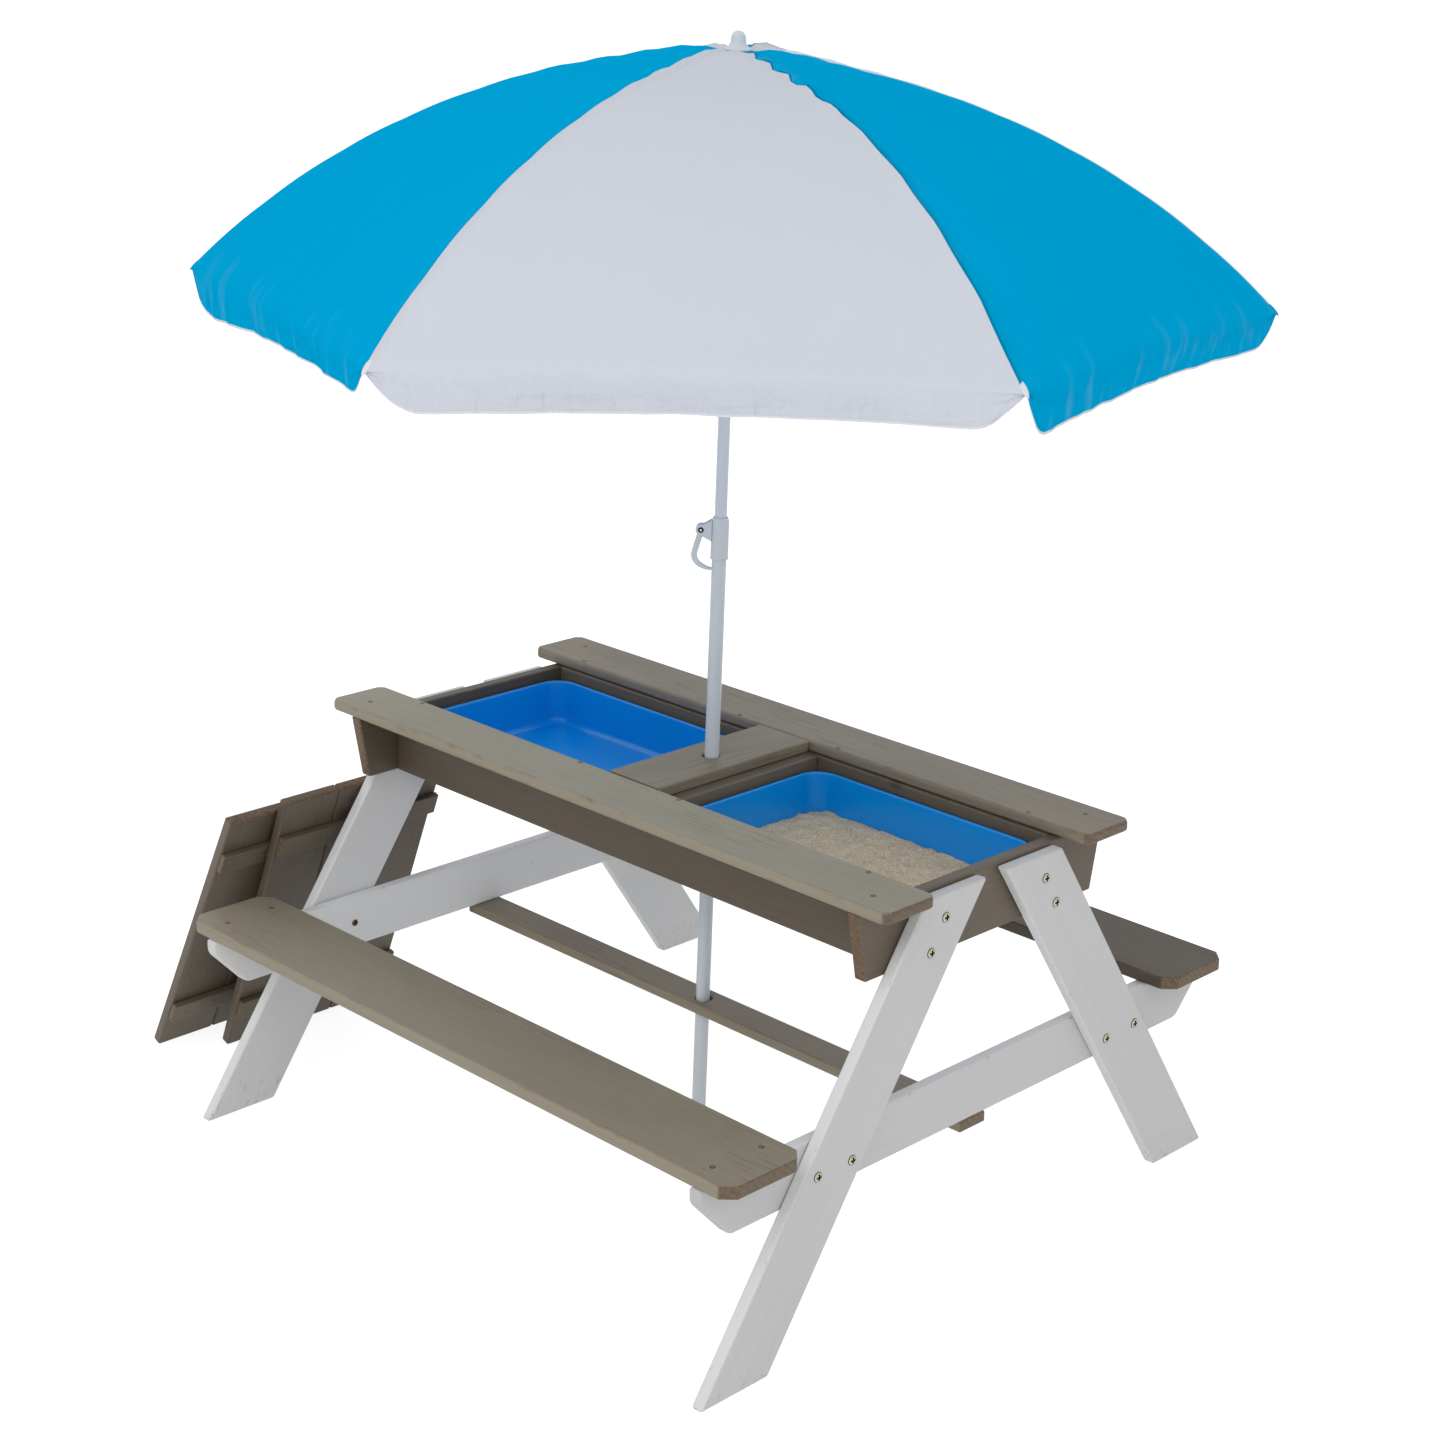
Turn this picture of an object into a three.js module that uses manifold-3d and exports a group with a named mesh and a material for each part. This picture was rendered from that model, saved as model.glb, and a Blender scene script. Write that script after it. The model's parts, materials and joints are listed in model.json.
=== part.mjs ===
// Children's picnic table with two tubs under two lids, and a parasol through its middle.
// Millimetres, +Z up. X runs along the boards and the front bench is at -Y. Pieces are placed
// from the floor under the middle of the table, and the group is then moved to its own middle.
import * as THREE from 'three';
import { mergeVertices } from 'three/addons/utils/BufferGeometryUtils.js';
import Module from 'manifold-3d';

const wasm = await Module();
wasm.setup();

// Gaps: where pieces touch, where a board meets its neighbour, and past a face that is cut
const touchGap = 0.3;
const boardGap = 0.5;
const cutOverrun = 2;

// Table top: a long board at the front and the back, a short one across the middle
const topLength = 950;
const topBoardWidth = 82;
const topBoardThickness = 14;
const topCornerCut = 8;
const openingWidth = 256;
const tableHeight = 499;
const centreBoardWidth = 85;

// Box under the table top, which holds the tubs
const boxDepth = 81;
const endBoardThickness = 16;
const endBoardSetback = 2;
const endBoardSlant = 15;
const apronThickness = 24;
const apronLap = 2.5;
const dividerThickness = 24;
const lidLedge = 17.5;

// Legs, one pair at each end, leaning in towards the top
const legThickness = 16;
const legWidth = 82;
const legSetback = 24.5;
const legSpread = 881;
const legTopSpread = 231;
const legTopDrop = 4;

// Rails across the legs, the benches that they carry and the stretcher under them
const railThickness = 16;
const railHeight = 66.5;
const railOverhang = 2;
const railEndHeight = 17;
const railEndCut = 46;
const benchHeight = 262.8;
const benchThickness = 16;
const benchWidth = 115;
const benchCornerCut = 15;
const benchSpan = 862;
const benchShortfall = 4;
const stretcherWidth = 44;
const stretcherThickness = 13.5;

// Tubs, on thin slats let in between the aprons
const slatThickness = 8;
const slatWidth = 60;
const slatInset = 45;
const tubWall = 2.5;
const tubDepth = 59;
const tubRimWidth = 5.5;
const tubRimThickness = 3;
const tubTaper = 7;
const tubCornerRadius = 30;
const tubClearance = 2;
const sandDepth = 9;
const sandClearance = 0.4;

// Lids: three planks on two battens each, leaning on the left legs and on each other
const lidLength = 412;
const lidPlankCount = 3;
const lidPlankThickness = 14;
const lidSideGap = 2.5;
const battenWidth = 30;
const battenThickness = 8.5;
const battenInset = 52;
const battenSideInset = 0.5;
const nearLidFoot = 151;
const nearLidPlace = -173;
const farLidFoot = 213.5;
const farLidPlace = -238;

// Parasol: tubes, the collar with its clip, and the slight lean it takes in its holes
const lean = THREE.MathUtils.degToRad(0.93);
const leanTowards = THREE.MathUtils.degToRad(42);
const crossingDrop = 71;
const lowerTubeRadius = 8.7;
const tubeWall = 1.2;
const tubeClearance = 0.3;
const lowerTubeHeight = 792;
const tubeOverlap = 170;
const poleHoleRadius = 10.5;
const lowerHoleSlack = 1.2;
const collarHeight = 47;
const collarWall = 1.4;
const collarCap = 3.5;
const earReach = 22.4;
const earDrop = 12;
const earRadius = 6;
const earPlate = 2.2;
const earFoot = 17;
const leverWidth = 6;
const leverThickness = 5.3;
const leverHeadRadius = 5;
const leverReach = 29;
const leverDrop = 46;
const leverSlope = 17;
const leverClearance = 0.7;
const rivetRadius = 2.2;
const rivetHead = 1.2;
const rivetClearance = 0.35;

// Canopy: six gores on six curved ribs, with a hanging edge between the ribs
const ribCount = 6;
const ribTurn = leanTowards;
const canopyRadius = 622;
const canopyHeight = 1329.5;
const canopyArcRadius = 912;
const canopyTopSlope = THREE.MathUtils.degToRad(1.4);
const canopyHole = 9;
const clothThickness = 1.2;
const rimTuck = 5.5;
const rimRise = 5;
const edgeHang = 42;
const edgeCorner = 52;
const edgeTuck = 9;
const ribSkew = 6.5;
const ribSkewTowards = THREE.MathUtils.degToRad(20);
const ribWidth = 4;
const ribHeight = 5;
const ribGap = 1.5;
const ribTipInset = 7;
const hubRadius = 20;
const hubHeight = 12;
const hingeRadius = 15;
const slotClearance = 0.3;
const hubWall = 2.6;
const strutWidth = 3;
const strutHeight = 5;
const strutReach = 202;
const forkCheek = 1.5;
const forkLength = 20;
const eyeRadius = 2.7;
const runnerSkirt = 25;
const finialRadius = 8.3;
const finialFlange = 16.5;
const finialFlangeHeight = 2;
const finialHeight = 23;
const finialStemRadius = 6.5;

// Counts of steps on round shapes
const roundSteps = 24;
const cornerSteps = 4;
const arcSteps = 16;
const goreColumns = 4;
const cornerColumns = 2;
const ringSteps = 11;

// Materials
const stainedWood = { color: 0x7d776e, roughness: 0.75, metalness: 0 };
const whiteWood = { color: 0xd8d8da, roughness: 0.65, metalness: 0 };
const bluePlastic = { color: 0x0a5fb0, roughness: 0.35, metalness: 0 };
const sandGrain = { color: 0xa2978a, roughness: 1, metalness: 0 };
const greyPaint = { color: 0xb3bdc6, roughness: 0.4, metalness: 0.1 };
const whitePlastic = { color: 0xcfd2d6, roughness: 0.45, metalness: 0 };
const steel = { color: 0x8f9296, roughness: 0.35, metalness: 0.9 };
const cloth = { color: 0x1aa3d6, roughness: 0.85, metalness: 0 };

// Places that follow from the sizes
const topUnderside = tableHeight - topBoardThickness;
const boxBottom = topUnderside - boxDepth;
const legOuterX = topLength / 2 - legSetback;
const legInnerX = legOuterX - legThickness;
const endBoardOuterX = legInnerX - touchGap;
const endBoardInnerX = endBoardOuterX - endBoardThickness;
const railOuterX = legInnerX - touchGap;
const topOuterY = openingWidth / 2 + topBoardWidth;
const apronInnerY = openingWidth / 2 - apronLap;
const dividerOuterX = centreBoardWidth / 2 + lidLedge;
const benchBottom = benchHeight - benchThickness;
const railTop = benchBottom - touchGap;
const railBottom = railTop - railHeight;
const stretcherTop = railBottom - touchGap;
const lidWidth = openingWidth - 2 * lidSideGap;
const poleCrossing = tableHeight - crossingDrop;
const strutRadius = hingeRadius + strutReach;
const upperTubeBottom = lowerTubeHeight - tubeOverlap;
const upperTubeRadius = lowerTubeRadius - tubeWall - tubeClearance;
const collarTop = lowerTubeHeight + touchGap + collarCap;
const collarBottom = lowerTubeHeight - collarHeight;
const earHeight = lowerTubeHeight - earDrop;
const collarRadius = lowerTubeRadius + tubeClearance + collarWall;

const group = new THREE.Group();

function addMesh(name, geometry, look, parent = group) {
  const mesh = new THREE.Mesh(geometry, new THREE.MeshStandardMaterial(look));
  mesh.name = name;
  parent.add(mesh);
  return mesh;
}

// A closed geometry as a solid that can be cut and joined, and back
function solidOf(geometry) {
  const bare = geometry.clone();
  bare.deleteAttribute('normal');
  bare.deleteAttribute('uv');
  const merged = mergeVertices(bare);
  return new wasm.Manifold(new wasm.Mesh({
    numProp: 3,
    vertProperties: new Float32Array(merged.attributes.position.array),
    triVerts: new Uint32Array(merged.index.array),
  }));
}

function geometryOf(solid) {
  const mesh = solid.getMesh();
  const geometry = new THREE.BufferGeometry();
  geometry.setAttribute('position', new THREE.BufferAttribute(mesh.vertProperties, mesh.numProp));
  geometry.setIndex(new THREE.BufferAttribute(mesh.triVerts, 1));
  geometry.computeVertexNormals();
  return geometry;
}

function cut(geometry, ...tools) {
  return geometryOf(tools.reduce((rest, tool) => rest.subtract(solidOf(tool)), solidOf(geometry)));
}

function join(geometry, ...others) {
  return geometryOf(others.reduce((sum, other) => sum.add(solidOf(other)), solidOf(geometry)));
}

// Plain shapes, placed by their limits
function boxBetween(x, y, z) {
  const size = [x, y, z].map(([low, high]) => high - low);
  const middle = [x, y, z].map(([low, high]) => (low + high) / 2);
  return new THREE.BoxGeometry(...size).translate(...middle);
}

function drum(radius, bottom, top, topRadius = radius) {
  const height = top - bottom;
  return new THREE.CylinderGeometry(topRadius, radius, height, roundSteps)
    .rotateX(Math.PI / 2)
    .translate(0, 0, (bottom + top) / 2);
}

function tube(outer, inner, bottom, top) {
  return cut(drum(outer, bottom, top), drum(inner, bottom - cutOverrun, top + cutOverrun));
}

// A bore whose flats still clear a round of this radius
function boreFor(radius, clearance) {
  return (radius + clearance) / Math.cos(Math.PI / roundSteps);
}

function outlineOf(points) {
  return new THREE.Shape(points.map(([x, y]) => new THREE.Vector2(x, y)));
}

function slab(points, depth) {
  return new THREE.ExtrudeGeometry(outlineOf(points), { depth, bevelEnabled: false, steps: 1 });
}

// An outline in Y and Z, as thick as the given stretch of X
function slabAcrossX(points, [low, high]) {
  const turn = new THREE.Matrix4().makeBasis(
    new THREE.Vector3(0, 1, 0), new THREE.Vector3(0, 0, 1), new THREE.Vector3(1, 0, 0));
  return slab(points, high - low).applyMatrix4(turn).translate(low, 0, 0);
}

// An outline in X and Z, with its thickness split evenly about Y = 0
function slabAlongX(points, width) {
  const turn = new THREE.Matrix4().makeBasis(
    new THREE.Vector3(1, 0, 0), new THREE.Vector3(0, 0, 1), new THREE.Vector3(0, -1, 0));
  return slab(points, width).translate(0, 0, -width / 2).applyMatrix4(turn);
}

function cutCornerBoard(length, width, thickness, corner) {
  const [x, y] = [length / 2, width / 2];
  return slab([
    [-x + corner, -y], [x - corner, -y], [x, -y + corner], [x, y - corner],
    [x - corner, y], [-x + corner, y], [-x, y - corner], [-x, -y + corner],
  ], thickness);
}

const sides = [['front', -1], ['back', 1]];
const ends = [['left', -1], ['right', 1]];

// From one distance to a farther one, on the side that the sign gives
function stretch(sign, near, far) {
  return sign > 0 ? [near, far] : [-far, -near];
}

function buildTableTop() {
  const middleY = (openingWidth + topBoardWidth) / 2;
  for (const [side, sign] of sides) {
    const board = cutCornerBoard(topLength, topBoardWidth, topBoardThickness, topCornerCut);
    addMesh(`top_board_${side}`, board, stainedWood).position.set(0, sign * middleY, topUnderside);
  }
  const halfX = centreBoardWidth / 2;
  const halfY = openingWidth / 2 - boardGap;
  const board = boxBetween([-halfX, halfX], [-halfY, halfY], [topUnderside + touchGap, tableHeight]);
  const hole = drum(poleHoleRadius, topUnderside - cutOverrun, tableHeight + cutOverrun);
  addMesh('centre_board', cut(board, hole), stainedWood);
}

function buildBox() {
  const boxTop = topUnderside - touchGap;
  const topHalf = topOuterY - endBoardSetback;
  const bottomHalf = topHalf - endBoardSlant;
  const outline = [
    [-bottomHalf, boxBottom], [bottomHalf, boxBottom], [topHalf, boxTop], [-topHalf, boxTop],
  ];
  for (const [end, sign] of ends) {
    const reach = stretch(sign, endBoardInnerX, endBoardOuterX);
    addMesh(`end_board_${end}`, slabAcrossX(outline, reach), stainedWood);
  }
  const apronX = endBoardInnerX - touchGap;
  for (const [side, sign] of sides) {
    const reach = stretch(sign, apronInnerY, apronInnerY + apronThickness);
    addMesh(`apron_${side}`, boxBetween([-apronX, apronX], reach, [boxBottom, boxTop]), stainedWood);
  }
  const dividerY = apronInnerY - touchGap;
  for (const [end, sign] of ends) {
    const reach = stretch(sign, dividerOuterX - dividerThickness, dividerOuterX);
    const divider = boxBetween(reach, [-dividerY, dividerY], [boxBottom, boxTop]);
    addMesh(`divider_${end}`, divider, stainedWood);
  }
}

function buildLegs() {
  const top = topUnderside - legTopDrop;
  const run = (legSpread - legTopSpread) / 2;
  const legSection = legWidth * Math.hypot(run, top) / top;
  for (const [side, ySign] of sides) {
    const outline = [
      [legSpread / 2 - legSection, 0], [legSpread / 2, 0],
      [legTopSpread / 2, top], [legTopSpread / 2 - legSection, top],
    ].map(([y, z]) => [ySign * y, z]);
    if (ySign < 0) outline.reverse();
    for (const [end, xSign] of ends) {
      const reach = stretch(xSign, legInnerX, legOuterX);
      addMesh(`leg_${side}_${end}`, slabAcrossX(outline, reach), whiteWood);
    }
  }
}

function buildRailsAndBenches() {
  const half = benchSpan / 2 + railOverhang;
  const shoulder = railTop - railEndHeight;
  const outline = [
    [-half + railEndCut, railBottom], [half - railEndCut, railBottom], [half, shoulder],
    [half, railTop], [-half, railTop], [-half, shoulder],
  ];
  for (const [end, sign] of ends) {
    const reach = stretch(sign, railOuterX - railThickness, railOuterX);
    addMesh(`cross_rail_${end}`, slabAcrossX(outline, reach), whiteWood);
  }
  const length = topLength - benchShortfall;
  for (const [side, sign] of sides) {
    const bench = cutCornerBoard(length, benchWidth, benchThickness, benchCornerCut);
    addMesh(`bench_${side}`, bench, stainedWood)
      .position.set(0, sign * (benchSpan - benchWidth) / 2, benchBottom);
  }
  const stretcherBottom = stretcherTop - stretcherThickness;
  const stretcher = boxBetween(
    [-railOuterX, railOuterX],
    [-stretcherWidth / 2, stretcherWidth / 2],
    [stretcherBottom, stretcherTop]);
  // Its hole lies a little short of the leaning pole, as the slack in the hole lets it
  const aside = lowerHoleSlack - (poleCrossing - (stretcherBottom + stretcherTop) / 2) * Math.tan(lean);
  const hole = drum(poleHoleRadius, stretcherBottom - cutOverrun, stretcherTop + cutOverrun)
    .translate(aside * Math.cos(leanTowards), aside * Math.sin(leanTowards), 0);
  addMesh('stretcher', cut(stretcher, hole), stainedWood);
}

// A ring of points round a rectangle with round corners, at one height
function roundedRing(halfX, halfY, radius, z) {
  const points = [];
  const corners = [[1, 1], [-1, 1], [-1, -1], [1, -1]];
  corners.forEach(([signX, signY], quarter) => {
    for (let step = 0; step <= cornerSteps; step += 1) {
      const angle = (quarter + step / cornerSteps) * Math.PI / 2;
      points.push(new THREE.Vector3(
        signX * (halfX - radius) + radius * Math.cos(angle),
        signY * (halfY - radius) + radius * Math.sin(angle), z));
    }
  });
  return points;
}

// A closed skin over rings of equally many points, with a flat fan at each end
function skinOver(rings) {
  const size = rings[0].length;
  const points = rings.flat();
  const index = [];
  for (let ring = 0; ring + 1 < rings.length; ring += 1) {
    for (let step = 0; step < size; step += 1) {
      const next = (step + 1) % size;
      const [a, b] = [ring * size + step, ring * size + next];
      const [c, d] = [a + size, b + size];
      index.push(a, b, d, a, d, c);
    }
  }
  for (const [ring, flip] of [[0, true], [rings.length - 1, false]]) {
    const middle = rings[ring].reduce((sum, p) => sum.clone().add(p), new THREE.Vector3());
    points.push(middle.divideScalar(size));
    for (let step = 0; step < size; step += 1) {
      const [a, b] = [ring * size + step, ring * size + (step + 1) % size];
      index.push(points.length - 1, ...(flip ? [b, a] : [a, b]));
    }
  }
  const geometry = new THREE.BufferGeometry().setFromPoints(points);
  geometry.setIndex(index);
  geometry.computeVertexNormals();
  return geometry;
}

function buildTubs() {
  const bayX = [dividerOuterX, endBoardInnerX];
  const middleX = (bayX[0] + bayX[1]) / 2;
  const halfX = (bayX[1] - bayX[0]) / 2 - tubClearance;
  const halfY = apronInnerY - tubClearance;
  const slatTop = boxBottom + slatThickness;
  const slatY = apronInnerY - touchGap;
  const floor = slatTop + touchGap;
  const rimTop = floor + tubDepth;
  const rimBottom = rimTop - tubRimThickness;
  // Outer skin from the floor up, over the rim and down the inside
  const section = [
    [tubRimWidth + tubTaper - tubWall, floor],
    [tubRimWidth - tubWall, rimBottom],
    [0, rimBottom],
    [0, rimTop],
    [tubRimWidth, rimTop],
    [tubRimWidth + tubTaper, floor + tubWall],
  ];
  const sandTop = floor + tubWall + sandDepth;
  const tubRing = (inset, z) => roundedRing(halfX - inset, halfY - inset, tubCornerRadius - inset, z);
  const inset = (z) => tubRimWidth + tubTaper * (rimTop - z) / (rimTop - floor - tubWall) + sandClearance;
  for (const [end, sign] of ends) {
    addMesh(`tub_${end}`, skinOver(section.map(([step, z]) => tubRing(step, z))), bluePlastic)
      .position.set(sign * middleX, 0, 0);
    [slatInset, bayX[1] - bayX[0] - slatInset - slatWidth].forEach((start, number) => {
      const reach = stretch(sign, bayX[0] + start, bayX[0] + start + slatWidth);
      const slat = boxBetween(reach, [-slatY, slatY], [boxBottom, slatTop]);
      addMesh(`tub_slat_${end}_${number + 1}`, slat, stainedWood);
    });
  }
  const sandBottom = floor + tubWall + touchGap;
  const sand = skinOver([sandBottom, sandTop].map((z) => tubRing(inset(z), z)));
  addMesh('sand', sand, sandGrain).position.set(middleX, 0, 0);
}

// One lid in its own frame: X across the planks' faces, Y along the row and Z up the planks
function buildLid(name, footX, placeY, tilt) {
  const lid = new THREE.Group();
  lid.position.set(-legOuterX - footX, placeY, 0);
  lid.rotation.y = tilt;
  const pitch = lidWidth / lidPlankCount;
  for (let number = 0; number < lidPlankCount; number += 1) {
    const low = -lidWidth / 2 + number * pitch;
    const plank = boxBetween([-lidPlankThickness, 0], [low, low + pitch - boardGap], [0, lidLength]);
    addMesh(`${name}_plank_${number + 1}`, plank, stainedWood, lid);
  }
  const halfY = lidWidth / 2 - battenSideInset;
  [battenInset, lidLength - battenInset - battenWidth].forEach((low, number) => {
    const thickness = [touchGap, touchGap + battenThickness];
    const batten = boxBetween(thickness, [-halfY, halfY], [low, low + battenWidth]);
    addMesh(`${name}_batten_${number + 1}`, batten, stainedWood, lid);
  });
  group.add(lid);
}

function buildLids() {
  const nearTilt = Math.asin((nearLidFoot - touchGap) / lidLength);
  buildLid('near_lid', nearLidFoot, nearLidPlace, nearTilt);
  // The far lid's upper batten rests on the back of the near lid, at its upper edge
  const stepBack = (farLidFoot - nearLidFoot) * Math.cos(nearTilt) - lidPlankThickness - touchGap;
  const edge = [battenThickness + touchGap, lidLength - battenInset];
  const farTilt = nearTilt + Math.asin(stepBack / Math.hypot(...edge)) - Math.atan2(...edge);
  buildLid('far_lid', farLidFoot, farLidPlace, farTilt);
}

// The parasol stands in its own frame, which leans about a point under the table top
const parasol = new THREE.Group();
parasol.position.set(0, 0, poleCrossing);
parasol.quaternion.setFromAxisAngle(
  new THREE.Vector3(-Math.sin(leanTowards), Math.cos(leanTowards), 0), lean);
group.add(parasol);

// Meshes of the parasol are drawn at their height above the floor and then lowered
function addParasolMesh(name, geometry, look) {
  return addMesh(name, geometry.translate(0, 0, -poleCrossing), look, parasol);
}

function buildTubes() {
  const foot = lowerTubeRadius * Math.sin(lean) + poleCrossing * (1 - Math.cos(lean)) + touchGap;
  const bore = boreFor(upperTubeRadius, tubeClearance);
  addParasolMesh('lower_tube', tube(lowerTubeRadius, bore, foot, lowerTubeHeight), greyPaint);
  const upperTop = hubTop - touchGap;
  const upper = tube(upperTubeRadius, upperTubeRadius - tubeWall, upperTubeBottom, upperTop);
  addParasolMesh('upper_tube', upper, greyPaint);
}

// Points on a round end, from one angle to another
function arcPoints(centreX, centreZ, radius, from, to, steps = cornerSteps * 2) {
  return Array.from({ length: steps + 1 }, (_, step) => {
    const angle = from + (to - from) * step / steps;
    return [centreX + radius * Math.cos(angle), centreZ + radius * Math.sin(angle)];
  });
}

function buildCollar() {
  const bore = boreFor(lowerTubeRadius, tubeClearance);
  const neck = boreFor(upperTubeRadius, tubeClearance);
  const body = join(drum(collarRadius, collarBottom, lowerTubeHeight),
    drum(collarRadius, lowerTubeHeight, collarTop, neck + collarWall));
  const ear = slabAlongX([
    ...arcPoints(earReach, earHeight, earRadius, -Math.PI / 2, Math.PI / 2),
    [0, collarTop - collarCap],
    [0, earHeight - earRadius - earFoot],
  ], leverWidth + 2 * (earPlate + leverClearance));
  const fork = boxBetween(
    [collarRadius + leverClearance, earReach + earRadius + cutOverrun],
    [-leverWidth / 2 - leverClearance, leverWidth / 2 + leverClearance],
    [collarBottom, collarTop]);
  const hole = pinAlongY(rivetRadius + rivetClearance, leverWidth + 2 * (earPlate + cutOverrun))
    .translate(earReach, 0, earHeight);
  const solid = cut(join(body, cut(ear, fork, hole)),
    drum(bore, collarBottom - cutOverrun, lowerTubeHeight + touchGap),
    drum(neck, lowerTubeHeight, collarTop + cutOverrun));
  addParasolMesh('collar', solid.rotateZ(leanTowards + Math.PI), whitePlastic);
}

function pinAlongY(radius, length) {
  return new THREE.CylinderGeometry(radius, radius, length, roundSteps / 2);
}

// The lever is a strap: a round head on the rivet, a slope out, a bend and a toe to the tube
function leverSpine() {
  const toe = lowerTubeRadius + touchGap;
  const low = earHeight - leverDrop + leverThickness / 2;
  const knee = low + leverSlope;
  return new THREE.CatmullRomCurve3([
    [earReach, earHeight],
    [(earReach + leverReach) / 2, (earHeight + knee) / 2],
    [leverReach, knee],
    [leverReach - leverThickness, low + leverThickness],
    [(leverReach + toe) / 2, low],
    [toe, low],
  ].map(([x, z]) => new THREE.Vector3(x, 0, z)));
}

function buildClip() {
  const spine = leverSpine();
  const half = leverThickness / 2;
  const [outer, inner] = [[], []];
  for (let step = 0; step <= arcSteps; step += 1) {
    const point = spine.getPointAt(step / arcSteps);
    const along = spine.getTangentAt(step / arcSteps);
    outer.push([point.x - along.z * half, point.z + along.x * half]);
    inner.push([point.x + along.z * half, point.z - along.x * half]);
  }
  const strap = slabAlongX([...outer, ...inner.reverse()], leverWidth);
  const head = pinAlongY(leverHeadRadius, leverWidth).translate(earReach, 0, earHeight);
  const hole = pinAlongY(rivetRadius + rivetClearance, leverWidth + 2 * cutOverrun)
    .translate(earReach, 0, earHeight);
  const lever = cut(join(strap, head), hole);
  addParasolMesh('clip_lever', lever.rotateZ(leanTowards + Math.PI), whitePlastic);
  const span = leverWidth + 2 * (earPlate + leverClearance);
  const shank = pinAlongY(rivetRadius, span + 2 * (touchGap + rivetHead));
  const caps = [-1, 1].map((sign) => pinAlongY(2 * rivetRadius, rivetHead)
    .translate(0, sign * (span / 2 + touchGap + rivetHead / 2), 0));
  const rivet = join(shank, ...caps).translate(earReach, 0, earHeight);
  addParasolMesh('clip_rivet', rivet.rotateZ(leanTowards + Math.PI), steel);
}

// Slope of the canopy's outer face along a rib, its height, and a point under it
function ribSlope(radius) {
  return Math.asin(Math.sin(canopyTopSlope) + radius / canopyArcRadius);
}

// The taut cloth pulls the ribs up on one side and down on the other, beyond their struts
function ribFace(radius, turn) {
  const beyond = Math.max(radius - strutRadius, 0) / (canopyRadius - strutRadius);
  const fall = canopyArcRadius * (Math.cos(canopyTopSlope) - Math.cos(ribSlope(radius)));
  return canopyHeight - fall + ribSkew * beyond * Math.cos(turn - ribSkewTowards);
}

function pointUnder(radius, depth, turn = ribTurn) {
  const slope = ribSlope(radius);
  return [radius - depth * Math.sin(slope), ribFace(radius, turn) - depth * Math.cos(slope)];
}

const ribDepth = clothThickness + ribGap + ribHeight / 2;
const hinge = [hingeRadius, pointUnder(hingeRadius, ribDepth)[1]];
const strutPivot = pointUnder(strutRadius, ribDepth);
const runnerHinge = [hingeRadius, hinge[1] - 2 * (hinge[1] - strutPivot[1])];
const hubTop = pointUnder(hubRadius, clothThickness + ribGap)[1];

// A slotted ring, for the hub at the top and for the runner
function slottedHub(bottom, top, slotWidth, innerRadius) {
  const slots = [];
  for (let number = 0; number < ribCount; number += 1) {
    slots.push(boxBetween(
      [innerRadius, hubRadius + cutOverrun], [-slotWidth / 2, slotWidth / 2],
      [bottom - cutOverrun, top + cutOverrun]).rotateZ(ribTurn + number * 2 * Math.PI / ribCount));
  }
  return cut(drum(hubRadius, bottom, top), ...slots);
}

function buildHubs() {
  const bore = boreFor(upperTubeRadius, tubeClearance);
  const wall = bore + hubWall;
  const hub = slottedHub(hubTop - hubHeight, hubTop, ribWidth + 2 * slotClearance, wall);
  const hubBore = drum(bore, hubTop - hubHeight - cutOverrun, hubTop + cutOverrun);
  addParasolMesh('hub', cut(hub, hubBore), whitePlastic);
  const middle = runnerHinge[1];
  const [ringBottom, ringTop] = [middle - hubHeight / 2, middle + hubHeight / 2];
  const ring = slottedHub(ringBottom, ringTop, strutWidth + 2 * slotClearance, wall);
  const skirtBottom = ringBottom - runnerSkirt;
  const runnerBore = drum(bore, skirtBottom - cutOverrun, middle + hubHeight);
  const runner = cut(join(ring, drum(wall, skirtBottom, middle)), runnerBore);
  addParasolMesh('runner', runner, whitePlastic);
}

function buildFinial() {
  const stemBottom = hubTop + touchGap;
  const flangeBottom = canopyHeight + ribGap;
  const flangeTop = flangeBottom + finialFlangeHeight;
  const domeMiddle = canopyHeight + finialHeight - finialRadius;
  const dome = arcPoints(0, domeMiddle, finialRadius, 0, Math.PI / 2);
  const profile = [
    [0, stemBottom], [finialStemRadius, stemBottom], [finialStemRadius, flangeBottom],
    [finialFlange, flangeBottom], [finialRadius + finialFlangeHeight, flangeTop], ...dome.slice(0, -1),
    [0, domeMiddle + finialRadius],
  ].map(([x, y]) => new THREE.Vector2(x, y));
  const finial = new THREE.LatheGeometry(profile, roundSteps).rotateX(Math.PI / 2);
  addParasolMesh('finial', finial, whitePlastic);
}

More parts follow.
